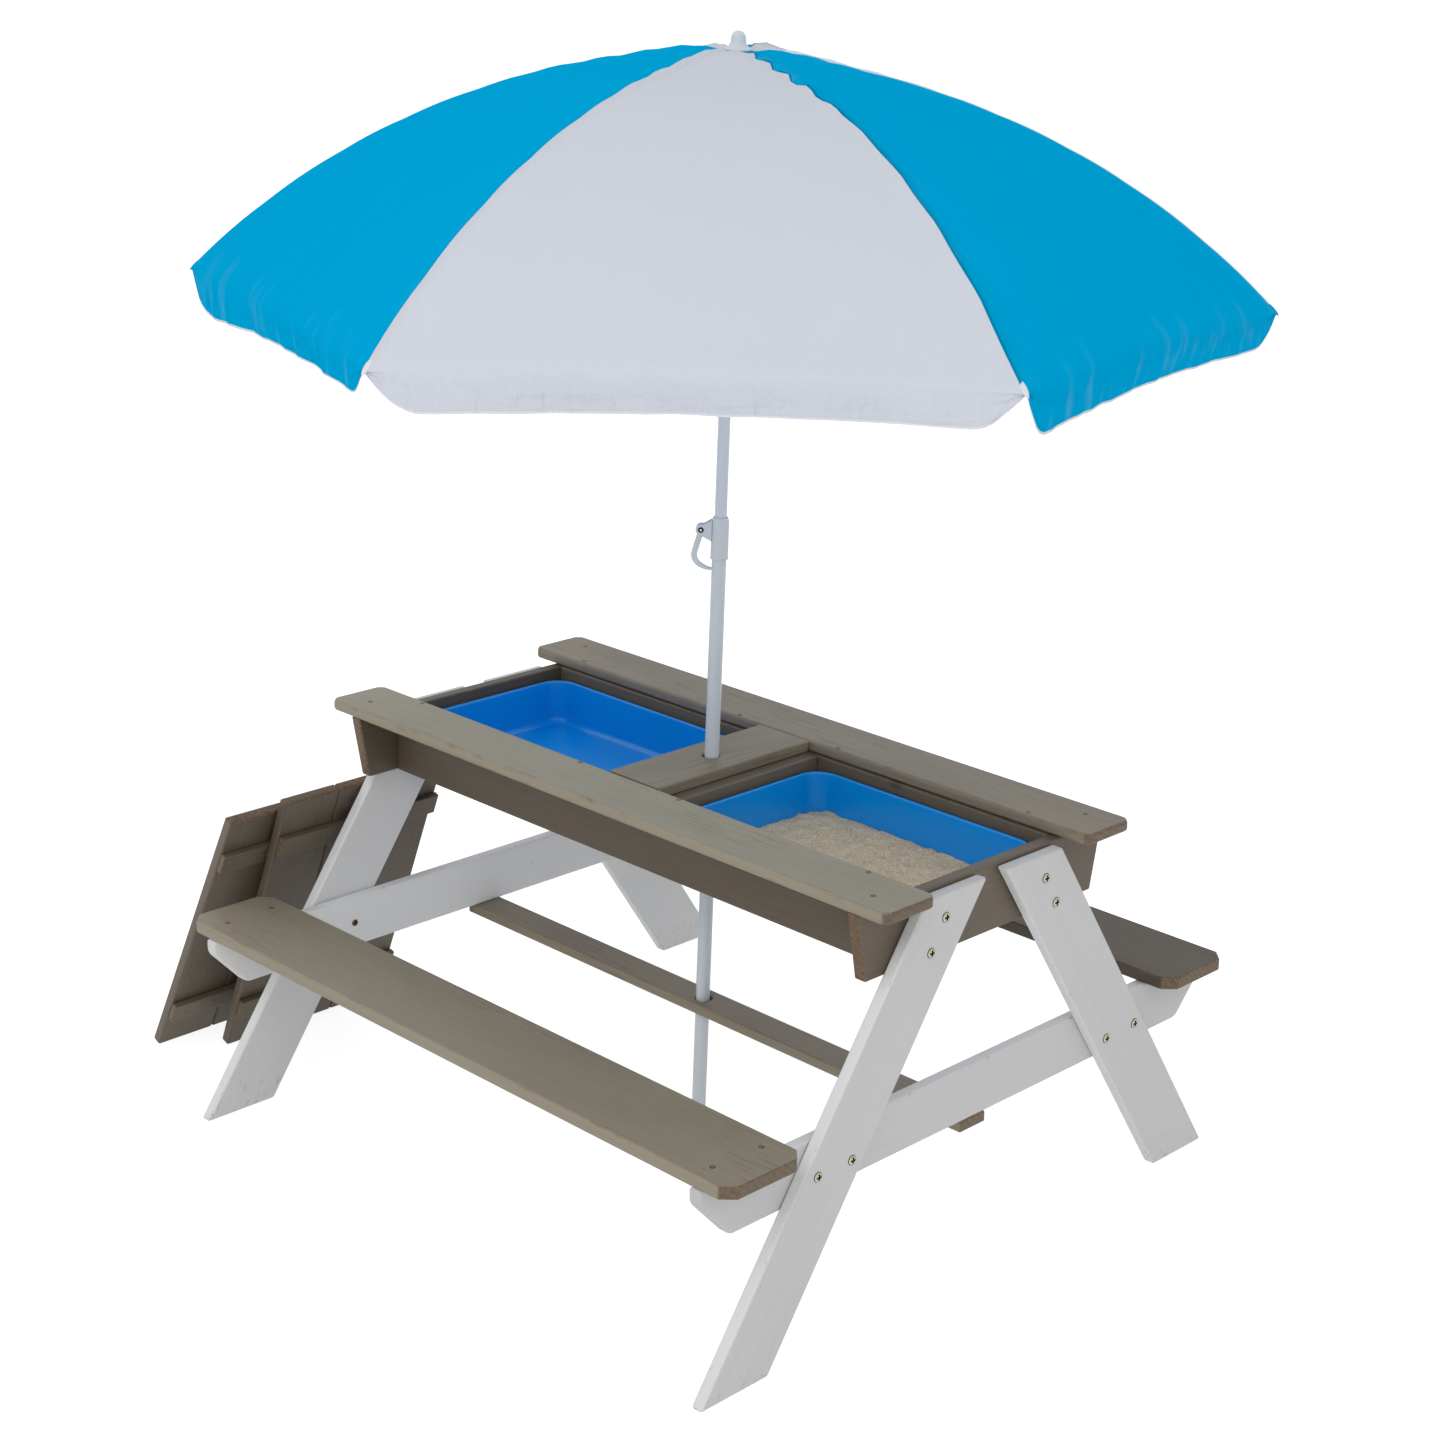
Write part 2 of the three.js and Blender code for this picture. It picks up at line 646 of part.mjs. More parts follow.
function buildRibsAndStruts() {
  const half = ribHeight / 2;
  const tip = canopyRadius - ribTipInset;
  const reaches = Array.from({ length: arcSteps + 1 },
    (_, step) => hingeRadius + (tip - hingeRadius) * step / arcSteps);
  const span = [strutPivot[0] - runnerHinge[0], strutPivot[1] - runnerHinge[1]];
  const length = Math.hypot(...span);
  const rise = Math.atan2(span[1], span[0]);
  const forkWidth = ribWidth + 2 * (slotClearance + forkCheek);
  const forkStart = length - forkLength - strutHeight;
  for (let number = 0; number < ribCount; number += 1) {
    const turn = ribTurn + number * 2 * Math.PI / ribCount;
    const lower = reaches.map((reach) => pointUnder(reach, ribDepth + half, turn));
    const upper = reaches.map((reach) => pointUnder(reach, ribDepth - half, turn));
    const rib = slabAlongX([...lower, ...upper.reverse()], ribWidth);
    addParasolMesh(`rib_${number + 1}`, rib.rotateZ(turn), whitePlastic);
    const bar = boxBetween([0, forkStart + strutHeight], [-strutWidth / 2, strutWidth / 2],
      [-strutHeight / 2, strutHeight / 2]);
    const foot = pinAlongY(strutHeight / 2, strutWidth);
    const fork = boxBetween([forkStart, length], [-forkWidth / 2, forkWidth / 2],
      [-strutHeight / 2, strutHeight / 2]);
    const eye = pinAlongY(eyeRadius, forkWidth).translate(length, 0, 0);
    const mouth = boxBetween([length - forkLength, length + 2 * eyeRadius],
      [-ribWidth / 2 - slotClearance, ribWidth / 2 + slotClearance], [-2 * eyeRadius, 2 * eyeRadius]);
    const strut = join(bar, foot, cut(join(fork, eye), mouth))
      .rotateY(-rise)
      .translate(runnerHinge[0], 0, runnerHinge[1]);
    addParasolMesh(`strut_${number + 1}`, strut.rotateZ(turn), whitePlastic);
  }
}

// A point on a face of the canopy: share across the gore, share out, share down the hanging edge
function canopyPoint(gore, across, out, hang, depth) {
  const radius = canopyHole + (canopyRadius - canopyHole) * out;
  const [first, second] = [gore, gore + 1].map((number) => {
    const turn = ribTurn + (number % ribCount) * 2 * Math.PI / ribCount;
    const [ribX, ribZ] = pointUnder(radius, depth, turn);
    return new THREE.Vector3(ribX * Math.cos(turn), ribX * Math.sin(turn), ribZ);
  });
  const point = first.lerp(second, across);
  const bulge = 4 * across * (1 - across);
  const inward = new THREE.Vector3(-point.x, -point.y, 0).normalize();
  point.addScaledVector(inward, rimTuck * bulge * out + edgeTuck * bulge * hang);
  point.z += rimRise * bulge * out * out;
  const fromCorner = Math.min(across, 1 - across) * canopyRadius / edgeCorner;
  const drop = fromCorner >= 1 ? 1 : Math.sin(fromCorner * Math.PI / 2);
  point.z -= edgeHang * drop * hang;
  return point;
}

// The gore's steps across are closer together near the ribs, where the hanging edge is cut back
function acrossShares() {
  const cornerShare = edgeCorner / canopyRadius;
  const corner = Array.from({ length: cornerColumns }, (_, step) => cornerShare * step / cornerColumns);
  const middle = Array.from({ length: goreColumns + 1 },
    (_, step) => cornerShare + (1 - 2 * cornerShare) * step / goreColumns);
  return [...corner, ...middle, ...corner.map((share) => 1 - share).reverse()];
}

function buildCanopy() {
  const shares = acrossShares();
  const positions = [];
  for (let gore = 0; gore < ribCount; gore += 1) {
    for (const [depth, flip] of [[0, false], [clothThickness, true]]) {
      const at = (column, row) => canopyPoint(gore, shares[column],
        Math.min(row / ringSteps, 1), Math.max(row - ringSteps, 0), depth);
      for (let row = 0; row <= ringSteps; row += 1) {
        for (let column = 0; column + 1 < shares.length; column += 1) {
          const corners = [[column, row], [column, row + 1], [column + 1, row + 1], [column + 1, row]]
            .map((place) => at(...place));
          const order = flip ? [0, 2, 1, 0, 3, 2] : [0, 1, 2, 0, 2, 3];
          positions.push(...order.map((corner) => corners[corner]));
        }
      }
    }
    // Close the cloth at the hem and round the hole in the middle
    for (let column = 0; column + 1 < shares.length; column += 1) {
      for (const [out, hang, flip] of [[1, 1, false], [0, 0, true]]) {
        const [here, next] = [shares[column], shares[column + 1]];
        const corners = [[here, 0], [here, clothThickness], [next, clothThickness], [next, 0]]
          .map(([across, depth]) => canopyPoint(gore, across, out, hang, depth));
        const order = flip ? [0, 2, 1, 0, 3, 2] : [0, 1, 2, 0, 2, 3];
        positions.push(...order.map((corner) => corners[corner]));
      }
    }
  }
  const soup = new THREE.BufferGeometry().setFromPoints(positions);
  const merged = mergeVertices(soup);
  const kept = [];
  const index = merged.index.array;
  for (let start = 0; start < index.length; start += 3) {
    const [a, b, c] = index.slice(start, start + 3);
    if (a !== b && b !== c && c !== a) kept.push(a, b, c);
  }
  merged.setIndex(kept);
  merged.computeVertexNormals();
  addParasolMesh('canopy', merged, cloth);
}

buildTableTop();
buildBox();
buildLegs();
buildRailsAndBenches();
buildTubs();
buildLids();
buildTubes();
buildCollar();
buildClip();
buildHubs();
buildFinial();
buildRibsAndStruts();
buildCanopy();

// The origin is on the floor under the middle of the whole object
const bounds = new THREE.Box3().setFromObject(group, true);
const middle = bounds.getCenter(new THREE.Vector3());
group.position.set(-middle.x, -middle.y, -bounds.min.z);

export default group;
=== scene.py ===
"""Dresses a picnic table with two tubs, lids and a parasol, and sets it on a pale floor."""

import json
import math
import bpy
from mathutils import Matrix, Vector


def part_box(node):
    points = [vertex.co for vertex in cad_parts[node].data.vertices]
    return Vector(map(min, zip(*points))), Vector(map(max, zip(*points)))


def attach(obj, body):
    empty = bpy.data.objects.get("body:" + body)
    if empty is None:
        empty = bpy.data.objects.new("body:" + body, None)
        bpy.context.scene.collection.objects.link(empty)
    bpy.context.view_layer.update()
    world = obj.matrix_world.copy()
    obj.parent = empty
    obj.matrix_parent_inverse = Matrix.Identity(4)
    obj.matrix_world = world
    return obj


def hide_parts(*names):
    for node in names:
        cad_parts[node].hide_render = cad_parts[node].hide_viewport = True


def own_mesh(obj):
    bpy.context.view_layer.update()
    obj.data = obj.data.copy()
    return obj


bl_info = {
    "name": "Picnic Table with Sandbox",
    "version": (1, 0, 0),
    "blender": (4, 5, 0),
    "location": "3D View > Sidebar > Picnic Table",
    "description": "Dresses a children's picnic table with tubs, lids and a parasol",
    "category": "Object",
}

import bmesh
import bpy
from mathutils import Matrix, Vector, noise

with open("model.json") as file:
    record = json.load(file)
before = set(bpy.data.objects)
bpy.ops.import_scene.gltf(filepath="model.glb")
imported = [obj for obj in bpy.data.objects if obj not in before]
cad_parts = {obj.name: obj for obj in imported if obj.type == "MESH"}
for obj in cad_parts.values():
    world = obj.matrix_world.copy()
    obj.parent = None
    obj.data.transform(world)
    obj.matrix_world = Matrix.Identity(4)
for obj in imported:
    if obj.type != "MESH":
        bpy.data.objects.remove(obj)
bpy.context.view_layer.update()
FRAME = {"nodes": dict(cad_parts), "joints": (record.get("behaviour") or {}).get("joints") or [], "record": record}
BODY_OF = {
    node: body
    for body, nodes in FRAME["record"]["behaviour"]["bodies"].items()
    for node in nodes
}
JOINTS = {joint["name"]: joint for joint in FRAME["joints"]}
MM = 0.001


def middle_of_table():
    """The point on the floor under the middle of the table top."""
    low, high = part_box("top_board_front")
    _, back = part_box("top_board_back")
    return Vector(((low.x + high.x) / 2, (low.y + back.y) / 2, 0))


MIDDLE = middle_of_table()


def from_hex(text):
    """A colour as a screen shows it, written as six hex digits, as linear red, green and blue."""
    parts = [int(text[start : start + 2], 16) / 255 for start in (0, 2, 4)]
    return tuple(
        part / 12.92 if part <= 0.04045 else ((part + 0.055) / 1.055) ** 2.4
        for part in parts
    )


def tint(colour):
    """A colour with its alpha, as a shader's socket takes it."""
    return (*colour[:3], 1)


def metres(name, default, description):
    return bpy.props.FloatProperty(
        name=name, default=default, description=description, unit="LENGTH", precision=5
    )


def number(name, default, description):
    return bpy.props.FloatProperty(name=name, default=default, description=description)


def colour(name, default, description):
    return bpy.props.FloatVectorProperty(
        name=name,
        default=from_hex(default),
        description=description,
        subtype="COLOR",
        size=3,
        min=0,
        max=1,
    )


def share(name, default, description):
    return bpy.props.FloatProperty(
        name=name, default=default, description=description, min=0, max=1, subtype="FACTOR"
    )


def angle(name, default, description):
    return bpy.props.FloatProperty(
        name=name,
        default=math.radians(default),
        description=description,
        subtype="ANGLE",
        unit="ROTATION",
    )


class WoodSettings(bpy.types.PropertyGroup):
    """Stained boards and the white frame."""

    stain: colour("Stain", "807361", "Colour of the grey-brown stain")
    stain_light: colour("Light stain", "948675", "Stain where the wood took least of it")
    stain_dark: colour("Dark stain", "5C5144", "Stain in the late rings and round knots")
    # Painted light: the colour that a lit board is blended towards. The top boards are paler because of the light
    # on them, not thinner stain.
    stain_pale: colour("Pale stain", "BDB59D", "Stain on the top boards, where it is thinnest")
    # Painted shade: the colour that a shaded board is blended towards, and that darkens the cut ends of the lit
    # boards.
    stain_deep: colour("Deep stain", "3D3225", "Stain on the boards that took most of it")
    bare_wood: colour("Bare wood", "7C6449", "Wood that shows at cut ends and on worn edges")
    end_dark: colour("Dark end grain", "523F2D", "Late rings and stain drawn into cut ends")
    white: colour("White paint", "D0CFCF", "Thin white paint on the legs and rails")
    white_thin: colour("Thin paint", "C3C0BC", "White paint where grain shows through")
    # Painted light: the paler white that the frame's narrow sides and the left stand's pieces are blended towards,
    # standing for light falling on them, not for thicker paint.
    white_side: colour("Side paint", "EEEDEC", "Thicker white paint on the boards' narrow sides")
    scuff: colour("Scuffs", "8C8984", "Dirt in the scuffs and knocks of the white paint")
    top_edge: metres("Top edge", 0.0038, "Rounding of the top boards' edges")
    board_edge: metres("Board edge", 0.0022, "Rounding of the other boards' edges")
    leg_edge: metres("Leg edge", 0.003, "Rounding of the legs' and rails' edges")
    lid_edge: metres("Lid edge", 0.0028, "Rounding of the lids' planks")
    ring_gap: metres("Ring gap", 0.0085, "Distance between growth rings")
    rail_corner: metres("Rail corner", 0.006, "Rounding of the lower corners at the rails' ends")


class TubSettings(bpy.types.PropertyGroup):
    """Tubs and the sand in one of them."""

    plastic: colour("Tub colour", "0096EE", "Moulded plastic of the tubs")
    corner: metres("Corner", 0.032, "Radius of the tub's corners at its rim")
    wall: metres("Wall", 0.0021, "Thickness of the moulded wall")
    fillet: metres("Fillet", 0.009, "Rounding between wall and floor")
    sand: colour("Sand", "E2C39B", "Middle colour of the sand")
    sand_light: colour("Light grains", "EADCC6", "Palest grains")
    sand_dark: colour("Dark grains", "857661", "Darkest grains")
    sand_relief: metres("Sand relief", 0.0035, "How far the sand rises and falls")


class ParasolSettings(bpy.types.PropertyGroup):
    """The parasol's cloth, pole and mouldings."""

    blue: colour("Blue cloth", "00ABE1", "Blue gores")
    white: colour("White cloth", "D6DAE3", "White gores")
    # Along the hem this is the real binding; the thin strip beside the seams of the blue gores is a painted
    # highlight in the same colour.
    binding: colour("Binding", "E6E8EE", "Pale binding along the hem and seams")
    pole: colour("Pole", "D6DCE2", "Enamel of the pole")
    moulding: colour("Moulding", "D9DDE2", "White moulded pieces")
    radius: metres("Radius", 0.622, "Distance of the rib tips from the pole")
    height: metres("Height", 1.3295, "Height of the cloth at the pole")
    arc: metres("Arc", 0.912, "Radius of the ribs' curve")
    hang: metres("Hang", 0.042, "Height of the hanging edge")
    corner: metres("Hem corner", 0.052, "Distance from a rib at which the edge hangs fully")
    ripple: metres("Ripple", 0.0026, "Depth of the ripples in the hanging edge")
    pucker: metres("Pucker", 0.0048, "Sag of the seams between their ties near the pole")
    sway: metres("Sway", 0.0085, "How far a slack seam lies beside its rib between two ties")
    billow: metres("Billow", 0.0028, "Rise of the cloth over a rib between two ties")
    crown: metres("Crown", 0.005, "Rise of the cloth around the finial")
    bend: metres("Bend", 0.011, "Length over which the cloth turns down at the rim")
    folded_share: share("Folded share", 0.28, "Width left of a gore when the canopy is folded")


class StageSettings(bpy.types.PropertyGroup):
    """Floor, lamps and the camera at the photograph's angle."""

    azimuth: angle("Azimuth", 42.84, "Direction that the camera looks from")
    elevation: angle("Elevation", 17.28, "Angle of the camera above the horizon")
    roll: angle("Roll", 1.89, "Turn of the camera about its own axis")
    distance: metres("Distance", 3.136, "Distance from the camera to the point it aims at")
    lens: number("Lens", 65.65, "Focal length in millimetres")
    shift_x: number("Shift X", -0.0691, "Sideways shift of the frame")
    shift_y: number("Shift Y", -0.0463, "Upward shift of the frame")
    floor: colour("Floor", "FFFFFF", "Floor and backdrop")
    sky: number("Sky", 0.72, "Strength of the even light")
    key: number("Key", 27.0, "Power of the large lamp above, in watts")
    through: number("Through", 0.55, "Power of the light through the cloth, in watts")
    fill: number("Fill", 6.0, "Power of the lamp beside the camera, in watts")


def settings(name):
    return getattr(bpy.context.scene, "picnic_" + name)


class Wire:
    """An output of a node, on which sums can be written as plain expressions."""

    def __init__(self, finish, socket):
        self.finish = finish
        self.socket = socket

    def sum(self, operation, first, second):
        return self.finish.node(
            "ShaderNodeMath", {"operation": operation}, {0: first, 1: second}
        )

    def __add__(self, other):
        return self.sum("ADD", self, other)

    def __radd__(self, other):
        return self.sum("ADD", other, self)

    def __sub__(self, other):
        return self.sum("SUBTRACT", self, other)

    def __rsub__(self, other):
        return self.sum("SUBTRACT", other, self)

    def __mul__(self, other):
        return self.sum("MULTIPLY", self, other)

    def __rmul__(self, other):
        return self.sum("MULTIPLY", other, self)

    def __truediv__(self, other):
        return self.sum("DIVIDE", self, other)

    def fraction(self):
        return self.sum("FRACT", self, 0)

    def sine(self):
        return self.sum("SINE", self, 0)

    def above_zero(self):
        return self.sum("MAXIMUM", self, 0)


class Finish:
    """One material, with the nodes that its surface needs."""

    def __init__(self, name):
        self.material = bpy.data.materials.new(name)
        self.material.use_nodes = True
        self.nodes = self.material.node_tree.nodes
        self.links = self.material.node_tree.links
        self.surface = self.nodes["Principled BSDF"]

    def join(self, value, socket):
        if isinstance(value, Wire):
            self.links.new(value.socket, socket)
        elif value is not None:
            socket.default_value = value

    def node(self, kind, options=None, inputs=None, output=0):
        """Adds a node: its options first, then the values or wires of its sockets."""
        made = self.nodes.new(kind)
        for name, value in (options or {}).items():
            if name == "stops":
                ramp = made.color_ramp
                while len(ramp.elements) < len(value):
                    ramp.elements.new(1)
                for element, (position, stop) in zip(ramp.elements, value):
                    element.position = position
                    element.color = tint(stop)
            else:
                setattr(made, name, value)
        for name, value in (inputs or {}).items():
            self.join(value, made.inputs[name])
        return Wire(self, made.outputs[output])

    def places(self, grain=(1, 0, 0), face=(0, 0, 1)):
        """Object coordinates, turned so that X runs along the grain and Z out of the face."""
        along, out = Vector(grain).normalized(), Vector(face).normalized()
        turn = Matrix((along, out.cross(along), out)).transposed().to_euler()
        at = self.node("ShaderNodeTexCoord", output="Object")
        return self.node(
            "ShaderNodeMapping", {"vector_type": "TEXTURE"}, {"Vector": at, "Rotation": turn}
        )

    def vector(self, operation, first, second, output=0):
        return self.node(
            "ShaderNodeVectorMath", {"operation": operation}, {0: first, 1: second}, output
        )

    def noise(self, at, stretch, detail=2.0, rough=0.5):
        """Cloudy noise from 0 to 1, with this many clouds in a metre along each axis."""
        return self.node(
            "ShaderNodeTexNoise",
            None,
            {
                "Vector": self.vector("MULTIPLY", at, stretch),
                "Scale": 1.0,
                "Detail": detail,
                "Roughness": rough,
            },
            "Fac",
        )

    def step(self, value, low, high):
        """0 below low, 1 above high, and a smooth rise between them."""
        return self.node(
            "ShaderNodeMapRange",
            {"interpolation_type": "SMOOTHSTEP"},
            {"Value": value, "From Min": low, "From Max": high},
        )

    def blend(self, factor, first, second):
        """Two colours mixed."""
        made = self.nodes.new("ShaderNodeMix")
        made.data_type = "RGBA"
        self.join(factor, made.inputs[0])
        for value, socket in ((first, made.inputs[6]), (second, made.inputs[7])):
            self.join(value if isinstance(value, Wire) else tint(value), socket)
        return Wire(self, made.outputs[2])

    def mark(self, name, output="Fac"):
        """A number stored on the piece's own mesh."""
        return self.node("ShaderNodeAttribute", {"attribute_name": name}, None, output)

    def cover(self, **sockets):
        """Joins values or wires to the surface's sockets, named with underscores."""
        for name, value in sockets.items():
            socket = self.surface.inputs[name.replace("_", " ")]
            is_colour = socket.type == "RGBA" and not isinstance(value, Wire)
            self.join(tint(value) if is_colour else value, socket)
        return self.material

    def relief(self, height):
        """The normal of a surface with this relief, in metres."""
        return self.node(
            "ShaderNodeBump", None, {"Strength": 1.0, "Distance": 1.0, "Height": height}, "Normal"
        )


def wood_figure(finish, at):
    """Streaks, rings, fibres, patches and knots of one board, each from 0 to 1."""
    wood = settings("wood")
    board = finish.mark("board_number")
    shift = finish.node(
        "ShaderNodeCombineXYZ", None, {0: board * 3.7, 1: board * 0.173, 2: board * 0.091}
    )
    at = finish.vector("ADD", at, shift)
    streaks = finish.noise(at, (7, 210, 210), 5.0, 0.6)
    fibres = finish.noise(at, (40, 1100, 1100), 2.0)
    patches = finish.noise(at, (3.5, 11, 11), 3.0)
    warp = finish.noise(at, (1.7, 6, 6), 2.0)
    across = finish.vector("MULTIPLY", at, (0, 1, 1))
    heart = finish.vector("ADD", across, (0, 0.013, 0.06))
    reach = finish.vector("LENGTH", heart, None, "Value")
    ring = ((reach + warp * 0.05) / wood.ring_gap).fraction()
    late = finish.step(ring, 0.45, 0.93) * (1 - finish.step(ring, 0.95, 1.0))
    spots = {"Vector": finish.vector("MULTIPLY", at, (5.5, 13, 13)), "Scale": 1.0}
    reach = finish.node("ShaderNodeTexVoronoi", None, spots, "Distance")
    spot_colour = finish.node("ShaderNodeTexVoronoi", None, spots, "Color")
    chance = finish.node("ShaderNodeSeparateColor", None, {0: spot_colour}, "Red")
    knots = (1 - finish.step(reach, 0.045, 0.10)) * finish.step(chance, 0.80, 0.83)
    return streaks, late, fibres, patches, knots


def stained_wood(name, grain, face=(0, 0, 1)):
    """Grey-brown stained pine with its grain along the board, brown at cut ends and worn edges."""
    wood = settings("wood")
    finish = Finish(name)
    at = finish.places(grain, face)
    streaks, late, fibres, patches, knots = wood_figure(finish, at)
    depth = 0.52 + (streaks - 0.5) * 0.45 + (patches - 0.5) * 0.75 - late * 0.075
    depth = depth + (fibres - 0.5) * 0.22 - knots * 0.6
    stain = finish.node(
        "ShaderNodeValToRGB",
        {"stops": [(0.05, wood.stain_dark), (0.5, wood.stain), (0.95, wood.stain_light)]},
        {"Fac": depth},
        "Color",
    )
    rubbed = finish.step(finish.noise(at, (24, 60, 60), 4.0, 0.65), 0.5, 0.68)
    scratched = finish.step(finish.noise(at, (16, 300, 300), 3.0, 0.6), 0.54, 0.64)
    scratched = scratched * finish.step(finish.noise(at, (5, 10, 10), 1.0), 0.52, 0.62)
    pores = finish.noise(at, (160, 420, 420), 4.0, 0.65)
    end = finish.blend(
        finish.step(pores + late * 0.08, 0.36, 0.68), wood.bare_wood, wood.end_dark
    )
    bare = finish.mark("worn_edge") * rubbed * 0.5
    # Painted light and shade: a board is blended towards the pale stain by its painted light and towards the deep
    # stain by its painted shade, and the cut ends of the paler boards are darkened in step.
    tone = finish.mark("board_tone")
    pale, deep = tone.above_zero(), (0 - tone).above_zero()
    end = finish.blend(pale * 0.4, end, wood.stain_deep)
    stain = finish.blend(pale * 0.36, stain, wood.stain_pale)
    stain = finish.blend(deep, stain, wood.stain_deep)
    sides = finish.blend(bare, stain, wood.bare_wood)
    sides = finish.blend(scratched * 0.35, sides, wood.end_dark)
    colour_now = finish.blend(finish.mark("cut_end") * 0.86, sides, end)
    height = streaks * 0.00014 + fibres * 0.00007 + late * 0.00005 - knots * 0.0002
    return finish.cover(
        Base_Color=colour_now,
        Roughness=0.42 + streaks * 0.2,
        Normal=finish.relief(height),
        Specular_IOR_Level=0.5,
    )


def white_wood(name, grain, face=(1, 0, 0)):
    """Thin white paint on pine: faint grain, rubbed edges and scuffs near the floor."""
    wood = settings("wood")
    finish = Finish(name)
    at = finish.places(grain, face)
    streaks, late, fibres, patches, knots = wood_figure(finish, at)
    thin = (streaks - 0.45) * 0.42 + (patches - 0.5) * 0.55 + late * 0.05 + knots * 0.45
    paint = finish.blend(finish.step(thin, -0.1, 0.75), wood.white, wood.white_thin)
    # Painted light: the left stand's pieces are blended paler by their painted light, and the narrow sides of
    # every leg and rail are made paler as if lit.
    paint = finish.blend(finish.mark("board_tone"), paint, wood.white_side)
    paint = finish.blend(finish.mark("narrow_side") * 0.8, paint, wood.white_side)
    rubbed = finish.step(finish.noise(at, (45, 90, 90), 4.0, 0.7), 0.60, 0.70)
    paint = finish.blend(
        finish.mark("worn_edge") * rubbed * 0.5 + finish.mark("cut_end") * 0.12,
        paint,
        wood.bare_wood,
    )
    lift = finish.node(
        "ShaderNodeSeparateXYZ", None, {0: finish.node("ShaderNodeTexCoord", output="Object")}, "Z"
    )
    low = 1 - finish.step(lift, 0.004, 0.06)
    scuffs = finish.step(finish.noise(at, (70, 160, 160), 5.0, 0.7), 0.57, 0.66)
    paint = finish.blend(low * scuffs * 0.45, paint, wood.scuff)
    knocks = finish.step(finish.noise(at, (55, 120, 120), 4.0, 0.65), 0.68, 0.74)
    paint = finish.blend(knocks * 0.35, paint, wood.scuff)
    height = streaks * 0.00008 + fibres * 0.00004 + late * 0.00003 - knocks * 0.0001
    return finish.cover(
        Base_Color=paint,
        Roughness=0.5 + streaks * 0.2,
        Normal=finish.relief(height),
        Specular_IOR_Level=0.35,
    )


def tub_plastic(name):
    """Blue moulded plastic with a soft gloss and faint handling marks."""
    finish = Finish(name)
    at = finish.places()
    cloud = finish.noise(at, (9, 9, 9), 3.0)
    marks = finish.noise(at, (60, 420, 60), 4.0, 0.7)
    base = settings("tub").plastic
    deeper = [part * 0.86 for part in base]
    return finish.cover(
        Base_Color=finish.blend(cloud, deeper, base),
        Roughness=0.16 + marks * 0.14,
        Normal=finish.relief(cloud * 0.0003 + marks * 0.00002),
        Specular_IOR_Level=0.5,
    )


def loose_sand(name):
    """Dry sand: pale, brown and dark grains under a millimetre across."""
    tub = settings("tub")
    finish = Finish(name)
    at = finish.places()
    grain_inputs = {"Vector": at, "Scale": 1250.0}
    grains = finish.node("ShaderNodeTexVoronoi", None, grain_inputs, "Color")
    gaps = finish.node("ShaderNodeTexVoronoi", None, grain_inputs, "Distance")
    chance = finish.node("ShaderNodeSeparateColor", None, {0: grains}, "Red")
    clumps = finish.noise(at, (60, 60, 60), 4.0, 0.6)
    shade = chance * 0.75 + clumps * 0.5 - 0.12
    sand = finish.node(
        "ShaderNodeValToRGB",
        {"stops": [(0.05, tub.sand_dark), (0.4, tub.sand), (0.95, tub.sand_light)]},
        {"Fac": shade},
        "Color",
    )
    return finish.cover(
        Base_Color=sand,
        Roughness=0.95,
        Normal=finish.relief(clumps * 0.0018 - gaps * 0.0005),
        Specular_IOR_Level=0.2,
    )


def pole_enamel(name):
    """Pale grey enamel on steel tube."""
    finish = Finish(name)
    at = finish.places((0, 0, 1), (1, 0, 0))
    peel = finish.noise(at, (500, 500, 500), 2.0)
    wiped = finish.noise(at, (5, 60, 60), 4.0)
    base = settings("parasol").pole
    return finish.cover(
        Base_Color=finish.blend(wiped, [part * 0.92 for part in base], base),
        Roughness=0.3 + wiped * 0.14,
        Normal=finish.relief(peel * 0.00004),
        Coat_Weight=0.2,
    )


def white_moulding(name, darker=1.0):
    """White moulded plastic with a fine spark texture."""
    finish = Finish(name)
    at = finish.places()
    spark = finish.noise(at, (900, 900, 900), 2.0)
    cloud = finish.noise(at, (40, 40, 40), 3.0)
    base = [part * darker for part in settings("parasol").moulding]
    return finish.cover(
        Base_Color=finish.blend(cloud, [part * 0.93 for part in base], base),
        Roughness=0.42 + cloud * 0.12,
        Normal=finish.relief(spark * 0.00005),
    )


def plated_metal(name, base, rough):
    """Plated steel, slightly uneven in colour and gloss."""
    finish = Finish(name)
    at = finish.places()
    cloud = finish.noise(at, (260, 260, 260), 3.0)
    return finish.cover(
        Base_Color=finish.blend(cloud, [part * 0.7 for part in base], base),
        Metallic=0.9,
        Roughness=rough + cloud * 0.2,
        Normal=finish.relief(cloud * 0.00003),
    )


